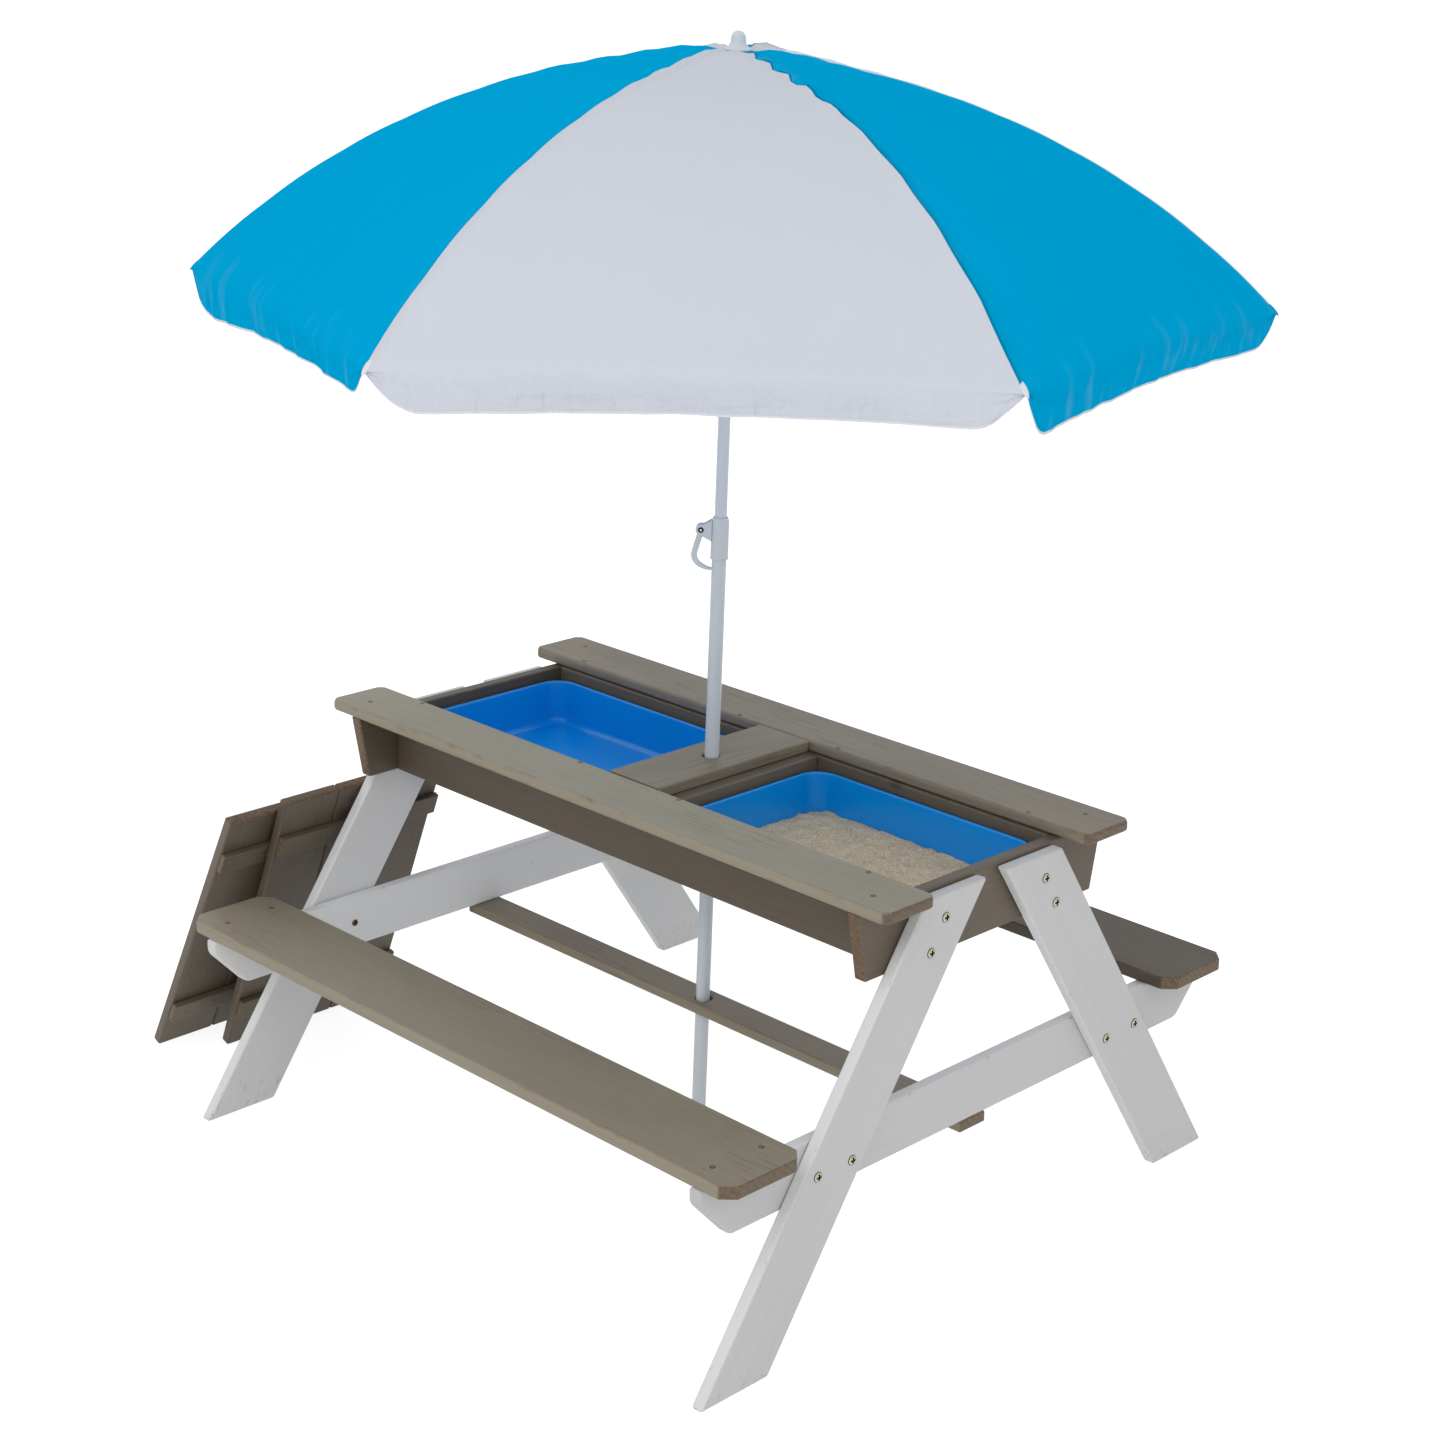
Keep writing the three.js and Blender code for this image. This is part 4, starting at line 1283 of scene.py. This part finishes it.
def pucker_at(radius):
    """Sag of a seam between two ties, as a share of the sag near the pole."""
    for near, far in zip(TIES, TIES[1:]):
        if near <= radius <= far:
            between = (radius - near) / (far - near)
            return 4 * between * (1 - between) * max(0.3, 1 - max(radius - 130, 0) / 200)
    return 0


def smooth(value):
    """0 to 1 with an easy start and end."""
    value = min(1, max(0, value))
    return value * value * (3 - 2 * value)


def crown_at(radius, turn):
    """Rise of the cloth round the finial, in millimetres, a little more over the second rib."""
    rise = smooth((radius - 14) / 30) * (1 - smooth((radius - 48) / 100))
    apart = math.remainder(turn - rib_turn(1), 2 * math.pi)
    return settings("parasol").crown / MM * rise * (1 + 0.7 * math.exp(-((apart / 0.6) ** 2)))


def settle(radius, rib):
    """How far slack lets a rib's tip stand from its true place, in millimetres."""
    reach = max(0, radius - STRUT_RADIUS) / (settings("parasol").radius / MM - STRUT_RADIUS)
    return Vector(TIP_SHIFTS[rib % RIB_COUNT]) * reach**1.5


class PICNIC_OT_spokes(bpy.types.Operator):
    """Finishes the ribs, struts, hub and runner under the canopy"""

    bl_idname = "picnic.spokes"
    bl_label = "Finish the ribs and struts"

    def execute(self, context):
        moulding = finish_of(white_moulding, "white_moulding")
        spoke = finish_of(white_moulding, "white_spoke", 0.9)
        for node in nodes_like("rib_", "strut_"):
            shape = solid_of(node)
            if node.startswith("rib_"):
                for vert in shape.verts:
                    reach = math.hypot(vert.co.x - MIDDLE.x, vert.co.y - MIDDLE.y) / MM
                    vert.co += settle(reach, int(node[4:]) - 1) * MM
            finish_fine(shape, node, spoke, 0.0007)
        for node in ("hub", "runner"):
            finish_fine(solid_of(node), node, moulding, 0.0005)
        return {"FINISHED"}


def plain_point(gore, across, radius, lowered):
    """A point of the cloth without its seams and ripples: lowered is in millimetres at the rim."""
    cloth = settings("parasol")
    tip = cloth.radius / MM
    out = (radius - CLOTH_HOLE) / (tip - CLOTH_HOLE)
    ends = []
    for rib in (gore, gore + 1):
        turn = rib_turn(rib)
        along = Vector((radius * math.cos(turn), radius * math.sin(turn), 0))
        along.z = over_rib(radius, turn)
        ends.append(along + settle(radius, rib))
    point = ends[0].lerp(ends[1], across)
    bulge = 4 * across * (1 - across)
    inward = Vector((-point.x, -point.y, 0)).normalized()
    point += inward * bulge * (RIM_TUCK * out + EDGE_TUCK * lowered / EDGE_DRAWN)
    point.z += RIM_RISE * bulge * out * out - lowered
    return point, inward


def edge_height(gore, across):
    """Height of the hanging edge in millimetres: nothing at a rib, all of it past the corner."""
    cloth = settings("parasol")
    from_corner = min(across, 1 - across) * cloth.radius / cloth.corner
    drop = 1 if from_corner >= 1 else math.sin(from_corner * math.pi / 2)
    first, second = EDGE_HEIGHTS[gore]
    return (first + (second - first) * across) * drop * cloth.hang / MM / EDGE_DRAWN, drop


def bend_point(gore, across, part, bend):
    """A point of the round bend at the rim, whose part runs from 0 on top to 1 at the side."""
    tip = settings("parasol").radius / MM
    before = plain_point(gore, across, tip - bend, 0)[0]
    corner = plain_point(gore, across, tip, 0)[0]
    after = plain_point(gore, across, tip, bend)[0]
    return before * (1 - part) ** 2 + corner * 2 * part * (1 - part) + after * part**2


def seam_slack(rib, side, offset, radius):
    """How far slack moves the cloth beside a seam: along the rim, and up."""
    cloth = settings("parasol")
    loose = pucker_at(radius) * min(1, radius / 50) / MM * smooth(1 - offset / (radius / 2))
    sway = cloth.sway * SWAYS[rib] * loose * math.exp(-offset / 30)
    beside = HALF_GORE_SHARE * offset * (-1 if side else 1) + sway
    off_rib = smooth((abs(beside) - 2) / 6)
    sag = cloth.pucker * math.exp(-offset / 20) * off_rib
    return sway, loose * (cloth.billow * (1 - off_rib) - sag)


def ripple_at(gore, across, radius, hang):
    """How far a ripple bows the hanging edge, and the cloth near the rim, inwards."""
    cloth = settings("parasol")
    along = gore * 1.7 + across
    wave = noise.noise(Vector((along * 13, 3.1, 0.4 * hang)))
    wave += 0.6 * noise.noise(Vector((along * 31, 8.2, 0.6 * hang)))
    near_rim = smooth(1 - (cloth.radius / MM - radius) / 45)
    return cloth.ripple / MM * wave * near_rim * (0.25 + hang) * 1.6


def cloth_point(gore, side, offset, radius, hang):
    """A point of the cloth in millimetres: offset is the distance from the seam at this radius."""
    cloth = settings("parasol")
    across = 1 - offset / radius if side else offset / radius
    height, drop = edge_height(gore, across)
    point, inward = plain_point(gore, across, radius, height * hang)
    bend = cloth.bend / MM * drop
    past_rim = height * hang if hang else radius - cloth.radius / MM
    if bend and abs(past_rim) < bend:
        point = bend_point(gore, across, (past_rim + bend) / (2 * bend), bend)
    point.z += crown_at(radius, math.atan2(point.y, point.x))
    on_top = 1 - min(1, hang * 4)
    rib = (gore + side) % RIB_COUNT
    sway, rise = seam_slack(rib, side, offset, radius)
    turn = rib_turn(rib)
    point += Vector((-math.sin(turn), math.cos(turn), 0)) * sway * on_top
    seam_ridge = 0.5 * max(0, 1 - offset / 3.2)
    from_middle = abs(across - 0.5) * radius
    middle_ridge = 0.6 * max(0, 1 - from_middle / 3) * min(1, radius / 200)
    point.z += (rise + seam_ridge + middle_ridge) * on_top
    return point - inward * ripple_at(gore, across, radius, hang) * drop


def half_columns():
    """Distances from the seam at the rim, in millimetres, to the middle of a gore."""
    half = settings("parasol").radius / MM / 2
    near = [0, 1.2, 2.4, 3.6, SEAM_WIDTH, 9, 13, 18, 24, 31, 39, 48]
    return near + [48 + (half - 48) * step / 16 for step in range(1, 17)]


def half_rows():
    """Distances from the pole, in millimetres, each with a share of the hanging edge's height."""
    tip = settings("parasol").radius / MM
    reaches = [CLOTH_HOLE + (tip - 18 - CLOTH_HOLE) * step / 44 for step in range(45)]
    reaches += [tip - back for back in (14, 11, 8.5, 6, 4, 2, 0)]
    hangs = [0.05, 0.1, 0.15, 0.2, 0.25, 0.32, 0.42, 0.54, 0.66, 0.78, 0.9, 0.97, 1, 1.03, 1.06]
    return [(reach, 0) for reach in reaches] + [(tip, hang) for hang in hangs]


def sew_half_gore(gore, side):
    """One half of a gore, from its seam to its middle, with its hanging edge and bound hem."""
    cloth = settings("parasol")
    tip = cloth.radius / MM
    columns, rows = half_columns(), half_rows()
    shape = bmesh.new()
    bmesh.ops.create_grid(shape, x_segments=len(columns) - 1, y_segments=len(rows) - 1, size=1)
    slack = shape.verts.layers.float.new("slack")
    seam_at = shape.verts.layers.float.new("seam_at")
    weave = shape.loops.layers.uv.new("weave")
    flat = {}
    for vert in shape.verts:
        column = round((vert.co.x + 1) / 2 * (len(columns) - 1))
        row = round((vert.co.y + 1) / 2 * (len(rows) - 1))
        radius, hang = rows[row]
        half = radius / 2
        scale = min(1, half / (4 * SEAM_WIDTH))
        offset = columns[column]
        seam = SEAM_WIDTH * scale
        if offset <= SEAM_WIDTH:
            offset *= scale
        else:
            offset = seam + (offset - SEAM_WIDTH) * (half - seam) / (tip / 2 - SEAM_WIDTH)
        vert.co = PARASOL @ (cloth_point(gore, side, offset, radius, hang) * MM)
        reach = radius + hang * cloth.hang / MM
        from_middle = (half - offset) * (1 if side else -1)
        vert[seam_at] = (half - 1.8 * scale) * MM
        flat[vert] = (from_middle * MM + gore, reach * MM)
        vert[slack] = max(
            min(1, 0.55 + hang) * smooth(1 - (tip - radius) / 60),
            0.7 * math.exp(-offset / 18),
            0.1,
        )
    hem = round(tip + cloth.hang / MM, 3)
    for face in shape.faces:
        for loop in face.loops:
            loop[weave].uv = flat[loop.vert]
        reach = min(round(flat[vert][1] / MM, 3) for vert in face.verts)
        from_middle = max(abs(flat[vert][0] - gore) for vert in face.verts)
        if reach >= hem:
            face.material_index = 1
        # Faces within 1.8 mm of the seam on the second half take slot 2: a painted shadow strip on the white gores
        # and a painted highlight strip on the blue ones.
        elif side and from_middle > max(vert[seam_at] for vert in face.verts):
            face.material_index = 2
    bmesh.ops.remove_doubles(shape, verts=shape.verts, dist=2e-6)
    shape.normal_update()
    if sum(face.normal.z for face in shape.faces) < 0:
        bmesh.ops.reverse_faces(shape, faces=shape.faces)
    for edge in shape.edges:
        edge.smooth = not edge.is_boundary
    area = sum(face.calc_area() for face in shape.faces)
    return shape, area


CLOTH_THICKNESS = 0.0005


class PICNIC_OT_canopy(bpy.types.Operator):
    """Sews the six gores, each half on its own rib, in two colours in turn"""

    bl_idname = "picnic.canopy"
    bl_label = "Sew the canopy"

    def execute(self, context):
        cloth = settings("parasol")
        blue, white = cloth_of("blue_cloth"), cloth_of("white_cloth")
        binding, seam = cloth_of("hem_binding"), cloth_of("blue_seam")
        for gore in range(RIB_COUNT):
            for side in (0, 1):
                rib = (gore + side) % RIB_COUNT + 1
                shape, area = sew_half_gore(gore, side)
                piece = to_piece(
                    shape,
                    f"canopy_gore_{gore + 1}_{'ab'[side]}",
                    f"rib_{rib}",
                    # Slot 2 holds the painted seam highlight on the blue gores and the painted seam shadow on the
                    # white ones.
                    [blue, binding, binding] if gore % 2 else [white, binding, seam],
                    ["canopy"] if gore == side == 0 else (),
                )
                thick = piece.modifiers.new("cloth", "SOLIDIFY")
                thick.thickness = CLOTH_THICKNESS
                thick.offset = -1
                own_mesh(piece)
        return {"FINISHED"}


# Half sizes of a pocket, its distance back from the rib's tip, and how low it lies on the
# cloth, in millimetres; and the ribs that carry a pale one.
POCKET_HALF = (10, 3.4, 2.0)
POCKET_BACK = 5
POCKET_DROP = 1.3
PALE_POCKETS = (5, 6)


class PICNIC_OT_pockets(bpy.types.Operator):
    """Sews the small pockets that hold the rib tips"""

    bl_idname = "picnic.pockets"
    bl_label = "Sew the tip pockets"

    def execute(self, context):
        cloth = settings("parasol")
        tip = cloth.radius / MM
        back = tip - POCKET_BACK
        slope = math.asin(math.sin(TOP_SLOPE) + tip / (cloth.arc / MM))
        for rib in range(1, RIB_COUNT + 1):
            turn = rib_turn(rib - 1)
            shape = bmesh.new()
            bmesh.ops.create_icosphere(shape, subdivisions=3, radius=1)
            place = (
                Matrix.Rotation(turn, 4, "Z")
                @ Matrix.Translation((back, 0, over_rib(back, turn) - POCKET_DROP))
                @ Matrix.Rotation(slope, 4, "Y")
                @ Matrix.Diagonal((*POCKET_HALF, 1))
            )
            slack = Matrix.Translation(settle(tip, rib - 1))
            place = PARASOL @ Matrix.Scale(MM, 4) @ slack @ place
            bmesh.ops.transform(shape, matrix=place, verts=shape.verts)
            weave = shape.loops.layers.uv.new("weave")
            for face in shape.faces:
                for loop in face.loops:
                    loop[weave].uv = (loop.vert.co.x + loop.vert.co.y, loop.vert.co.z)
            patch = cloth_of("hem_binding" if rib in PALE_POCKETS else "blue_cloth")
            to_piece(shape, f"tip_pocket_{rib}", f"rib_{rib}", [patch])
        return {"FINISHED"}


# Each head's radius, the rise of its dome, the height of its rim and the depth of its cross
# recess, in millimetres.
HEADS = {
    # A thin ring under each leg bolt, drawn in the painted shadow metal to stand for the shade round its head.
    "washer": (5.9, 0.1, 0.35, 0.1),
    "bolt": (5.3, 1.7, 0.4, 1.8),
    "nut": (4.4, 1.2, 0.6, 1.5),
    "board_screw": (3.3, 0.15, 0.2, 1.2),
    "lid_screw": (3.0, 0.15, 0.2, 1.2),
}


def add_head(shape, place, kind, slot=0):
    """Adds a round head with a cross recess that looks along its place's +Z."""
    radius, dome, rim, recess = HEADS[kind]
    head = bmesh.new()
    bmesh.ops.create_grid(head, x_segments=14, y_segments=14, size=1)
    for vert in head.verts:
        x, y = vert.co.x, vert.co.y
        reach = max(abs(x), abs(y))
        scale = reach / math.hypot(x, y) if reach else 0
        vert.co = (x * scale * radius, y * scale * radius, dome * (1 - reach**4))
    outline = [edge for edge in head.edges if edge.is_boundary]
    for vert in verts_of(bmesh.ops.extrude_edge_only(head, edges=outline)):
        vert.co.z -= rim
    cross = []
    for face in head.faces:
        middle = face.calc_center_median()
        near, far = sorted((abs(middle.x), abs(middle.y)))
        if near < 0.2 * radius and far < 0.7 * radius and abs(face.normal.z) > 0.5:
            cross.append(face)
    # The recess's faces take slot 1, which in every head holds the painted shadow metal.
    sunk = bmesh.ops.extrude_face_region(head, geom=cross)
    bmesh.ops.delete(head, geom=cross, context="FACES_ONLY")
    for item in sunk["geom"]:
        if isinstance(item, bmesh.types.BMVert):
            item.co.z -= recess
        elif isinstance(item, bmesh.types.BMFace):
            for face in (item, *(near for edge in item.edges for near in edge.link_faces)):
                if face in sunk["geom"] or abs(face.normal.z) < 0.5:
                    face.material_index = 1
    for face in head.faces:
        face.material_index = face.material_index or slot
    bmesh.ops.recalc_face_normals(head, faces=head.faces)
    bmesh.ops.transform(head, matrix=place @ Matrix.Scale(MM, 4), verts=head.verts)
    add_shape(shape, head)


def looking(x, y, z, direction):
    """A place in the table's own millimetres whose +Z looks in a direction."""
    return Matrix.Translation(MIDDLE + Vector((x, y, z)) * MM) @ facing(direction)


# Across the table from its middle and above the floor, in millimetres.
LEG_BOLTS = (
    (-84.7, 453.8),
    (-106.9, 418.3),
    (-274.3, 211.7),
    (-221.5, 212.3),
    (87.2, 452.0),
    (108.4, 416.9),
    (222.5, 210.6),
    (277.2, 212.6),
)
RAIL_BOLTS_BELOW = 300
BOLT_LIFT = 0.7


class PICNIC_OT_bolts(bpy.types.Operator):
    """Puts the plated bolts in the legs and their nuts inside the rails"""

    bl_idname = "picnic.bolts"
    bl_label = "Bolt the legs"

    def execute(self, context):
        # Slot 1 is the painted shadow in the recesses and in the ring round each head.
        metals = [metal(name) for name in ("yellow_zinc", "dark_zinc", "copper_nut")]
        outer = (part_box("leg_front_right")[1].x - MIDDLE.x) / MM
        inner = (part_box("cross_rail_right")[0].x - MIDDLE.x) / MM
        shadow_ring_rim, nut_rim = HEADS["washer"][2], HEADS["nut"][2]
        shape = bmesh.new()
        for side in (-1, 1):
            for y, z in LEG_BOLTS:
                place = looking(side * (outer + shadow_ring_rim), y, z, (side, 0, 0))
                # The ring takes slot 1, the painted shadow.
                add_head(shape, place, "washer", 1)
                place = looking(side * (outer + BOLT_LIFT), y, z, (side, 0, 0))
                add_head(shape, place, "bolt")
                if z < RAIL_BOLTS_BELOW:
                    place = looking(side * (inner - nut_rim), y, z, (-side, 0, 0))
                    add_head(shape, place, "nut", 2)
        keep_flats_flat(to_piece(shape, "leg_bolts", "table", metals), 35)
        return {"FINISHED"}


# Along and across the table from its middle, in millimetres, in one quarter of it.
TOP_SCREWS = ((430, 181), (382, 136), (85, 134))
SEAT_SCREWS = ((426, 407), (430, 340))
# How far a lid's two screws in a plank stand from its middle, along and across it, in metres.
LID_SCREW_ALONG = 0.004
LID_SCREW_ACROSS = 0.02


class PICNIC_OT_screws(bpy.types.Operator):
    """Puts the countersunk screws in the top, the benches and the lids' battens"""

    bl_idname = "picnic.screws"
    bl_label = "Screw the boards"

    def execute(self, context):
        # The second metal is the painted shadow in the recesses.
        metals = [metal("dull_zinc"), metal("dark_zinc")]
        rim = HEADS["board_screw"][2]
        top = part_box("top_board_front")[1].z / MM
        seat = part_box("bench_front")[1].z / MM
        places = [(x, y, top) for x, y in TOP_SCREWS] + [(x, y, seat) for x, y in SEAT_SCREWS]
        shape = bmesh.new()
        for x, y, height in places:
            for side_x, side_y in ((-1, -1), (-1, 1), (1, -1), (1, 1)):
                place = looking(side_x * x, side_y * y, height + rim, (0, 0, 1))
                add_head(shape, place, "board_screw")
        keep_flats_flat(to_piece(shape, "board_screws", "table", metals), 35)
        for lid in ("near_lid", "far_lid"):
            self.screw_lid(lid, metals)
        return {"FINISHED"}

    def screw_lid(self, lid, metals):
        """Two screws in each plank through each batten, on the battens' inner face."""
        along = along_of(lid)
        out = Vector((along.z, 0, -along.x))
        rim = HEADS["lid_screw"][2] * MM
        shape = bmesh.new()
        for batten in (1, 2):
            low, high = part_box(f"{lid}_batten_{batten}")
            centre = (low + high) / 2
            board = FRAME["nodes"][f"{lid}_batten_{batten}"].data
            face = max((vert.co - centre).dot(out) for vert in board.vertices)
            for plank in (1, 2, 3):
                plank_low, plank_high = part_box(f"{lid}_plank_{plank}")
                middle = (plank_low.y + plank_high.y) / 2
                for step in (-1, 1):
                    place = centre + out * (face + rim) + along * (LID_SCREW_ALONG * step)
                    place.y = middle + LID_SCREW_ACROSS * step
                    add_head(shape, Matrix.Translation(place) @ facing(out), "lid_screw")
        keep_flats_flat(to_piece(shape, lid + "_screws", lid, metals), 35)


def floor_finish(base):
    """A pale floor that the camera sees nearly white and that keeps the shadow."""
    finish = Finish("pale_floor")
    rays = finish.nodes.new("ShaderNodeLightPath")
    seen = Wire(finish, rays.outputs["Is Camera Ray"])
    seen = seen + Wire(finish, rays.outputs["Is Glossy Ray"])
    matte = finish.node("ShaderNodeBsdfDiffuse", None, {"Color": tint(base)}, "BSDF")
    shine = {"Color": tint(base), "Strength": 1.7}
    glow = finish.node("ShaderNodeEmission", None, shine, "Emission")
    mixed = finish.node(
        "ShaderNodeMixShader", None, {0: seen * 0.5, 1: matte, 2: glow}, "Shader"
    )
    finish.links.new(mixed.socket, finish.nodes["Material Output"].inputs["Surface"])
    return finish.material


def add_lamp(name, place, aim, size, power):
    """A round lamp that lights the table but isn't seen itself."""
    lamp = bpy.data.lights.new(name, "AREA")
    lamp.shape = "DISK"
    lamp.size = size
    lamp.energy = power
    piece = bpy.data.objects.new(name, lamp)
    piece.location = place
    piece.visible_camera = False
    piece.visible_glossy = False
    piece.rotation_euler = (Vector(aim) - Vector(place)).to_track_quat("-Z", "Y").to_euler()
    bpy.context.scene.collection.objects.link(piece)
    return piece


class PICNIC_OT_stage(bpy.types.Operator):
    """Sets the floor, the lamps and the camera"""

    bl_idname = "picnic.stage"
    bl_label = "Set the stage"

    def execute(self, context):
        stage = settings("stage")
        scene = context.scene
        shape = bmesh.new()
        bmesh.ops.create_grid(shape, x_segments=1, y_segments=1, size=30)
        bmesh.ops.translate(shape, vec=(0, 0, -0.0006), verts=shape.verts)
        mesh = bpy.data.meshes.new("pale_floor")
        shape.to_mesh(mesh)
        shape.free()
        mesh.materials.append(floor_finish(stage.floor))
        floor = bpy.data.objects.new("pale_floor", mesh)
        scene.collection.objects.link(floor)
        self.light(scene, stage)
        self.set_camera(scene, stage)
        scene.view_settings.view_transform = "Standard"
        return {"FINISHED"}

    def light(self, scene, stage):
        """An even sky that the camera sees as the floor's own white, and three lamps."""
        world = bpy.data.worlds.new("pale_sky")
        world.use_nodes = True
        scene.world = world
        nodes, links = world.node_tree.nodes, world.node_tree.links
        rays = nodes.new("ShaderNodeLightPath")
        sky = nodes["Background"]
        sky.inputs["Color"].default_value = (0.975, 0.985, 1.0, 1)
        sky.inputs["Strength"].default_value = stage.sky
        seen = nodes.new("ShaderNodeBackground")
        seen.inputs["Color"].default_value = tint(stage.floor)
        seen.inputs["Strength"].default_value = 1
        mix = nodes.new("ShaderNodeMixShader")
        either = nodes.new("ShaderNodeMath")
        either.operation = "MAXIMUM"
        links.new(rays.outputs["Is Camera Ray"], either.inputs[0])
        links.new(rays.outputs["Is Glossy Ray"], either.inputs[1])
        links.new(either.outputs[0], mix.inputs[0])
        links.new(sky.outputs[0], mix.inputs[1])
        links.new(seen.outputs[0], mix.inputs[2])
        links.new(mix.outputs[0], nodes["World Output"].inputs["Surface"])
        add_lamp("key_lamp", (1.1, -2.8, 3.3), (0, 0, 0.7), 2.2, stage.key)
        under = MIDDLE + Vector((0, 0, 0.99))
        through = add_lamp("light_through_cloth", under, MIDDLE, 0.9, stage.through)
        through.data.color = (0.86, 0.95, 1.0)
        add_lamp("fill_lamp", (3.4, -1.5, 1.0), (0, 0, 0.45), 1.9, stage.fill)

    def set_camera(self, scene, stage):
        """The camera as it stood for the photograph."""
        turn, rise, roll = stage.azimuth, stage.elevation, stage.roll
        back = Vector(
            (math.sin(turn) * math.cos(rise), -math.cos(turn) * math.cos(rise), math.sin(rise))
        )
        right = Vector((math.cos(turn), math.sin(turn), 0))
        up = back.cross(right)
        right, up = (
            right * math.cos(roll) + up * math.sin(roll),
            up * math.cos(roll) - right * math.sin(roll),
        )
        aim = MIDDLE + Vector((0.0970, 0.0872, 0.6300))
        data = bpy.data.cameras.new("photo_camera")
        data.sensor_width = 36
        data.lens = stage.lens
        data.shift_x = stage.shift_x
        data.shift_y = stage.shift_y
        data.clip_end = 100
        camera = bpy.data.objects.new("photo_camera", data)
        camera.matrix_world = Matrix.Translation(aim + back * stage.distance) @ Matrix(
            (right, up, back)
        ).transposed().to_4x4()
        scene.collection.objects.link(camera)
        scene.camera = camera


class PICNIC_PT_panel(bpy.types.Panel):
    """Lists the steps that dress the picnic table"""

    bl_idname = "PICNIC_PT_panel"
    bl_label = "Picnic Table"
    bl_space_type = "VIEW_3D"
    bl_region_type = "UI"
    bl_category = "Picnic Table"

    def draw(self, context):
        for name in GROUPS:
            box = self.layout.box()
            group = getattr(context.scene, "picnic_" + name)
            for key in group.__annotations__:
                box.prop(group, key)
        for step in STEPS:
            self.layout.operator(step.bl_idname)


GROUPS = {
    "wood": WoodSettings,
    "tub": TubSettings,
    "parasol": ParasolSettings,
    "stage": StageSettings,
}
STEPS = (
    PICNIC_OT_boards,
    PICNIC_OT_frame,
    PICNIC_OT_lids,
    PICNIC_OT_tubs,
    PICNIC_OT_sand,
    PICNIC_OT_pole,
    PICNIC_OT_clip,
    PICNIC_OT_finial,
    PICNIC_OT_spokes,
    PICNIC_OT_canopy,
    PICNIC_OT_pockets,
    PICNIC_OT_bolts,
    PICNIC_OT_screws,
    PICNIC_OT_stage,
)


def register():
    for kind in (*GROUPS.values(), *STEPS, PICNIC_PT_panel):
        bpy.utils.register_class(kind)
    for name, kind in GROUPS.items():
        setattr(bpy.types.Scene, "picnic_" + name, bpy.props.PointerProperty(type=kind))


def unregister():
    for name in GROUPS:
        delattr(bpy.types.Scene, "picnic_" + name)
    for kind in reversed((*GROUPS.values(), *STEPS, PICNIC_PT_panel)):
        bpy.utils.unregister_class(kind)


def main():
    register()
    for step in STEPS:
        group, name = step.bl_idname.split(".")
        getattr(getattr(bpy.ops, group), name)()


if __name__ == "__main__":
    main()
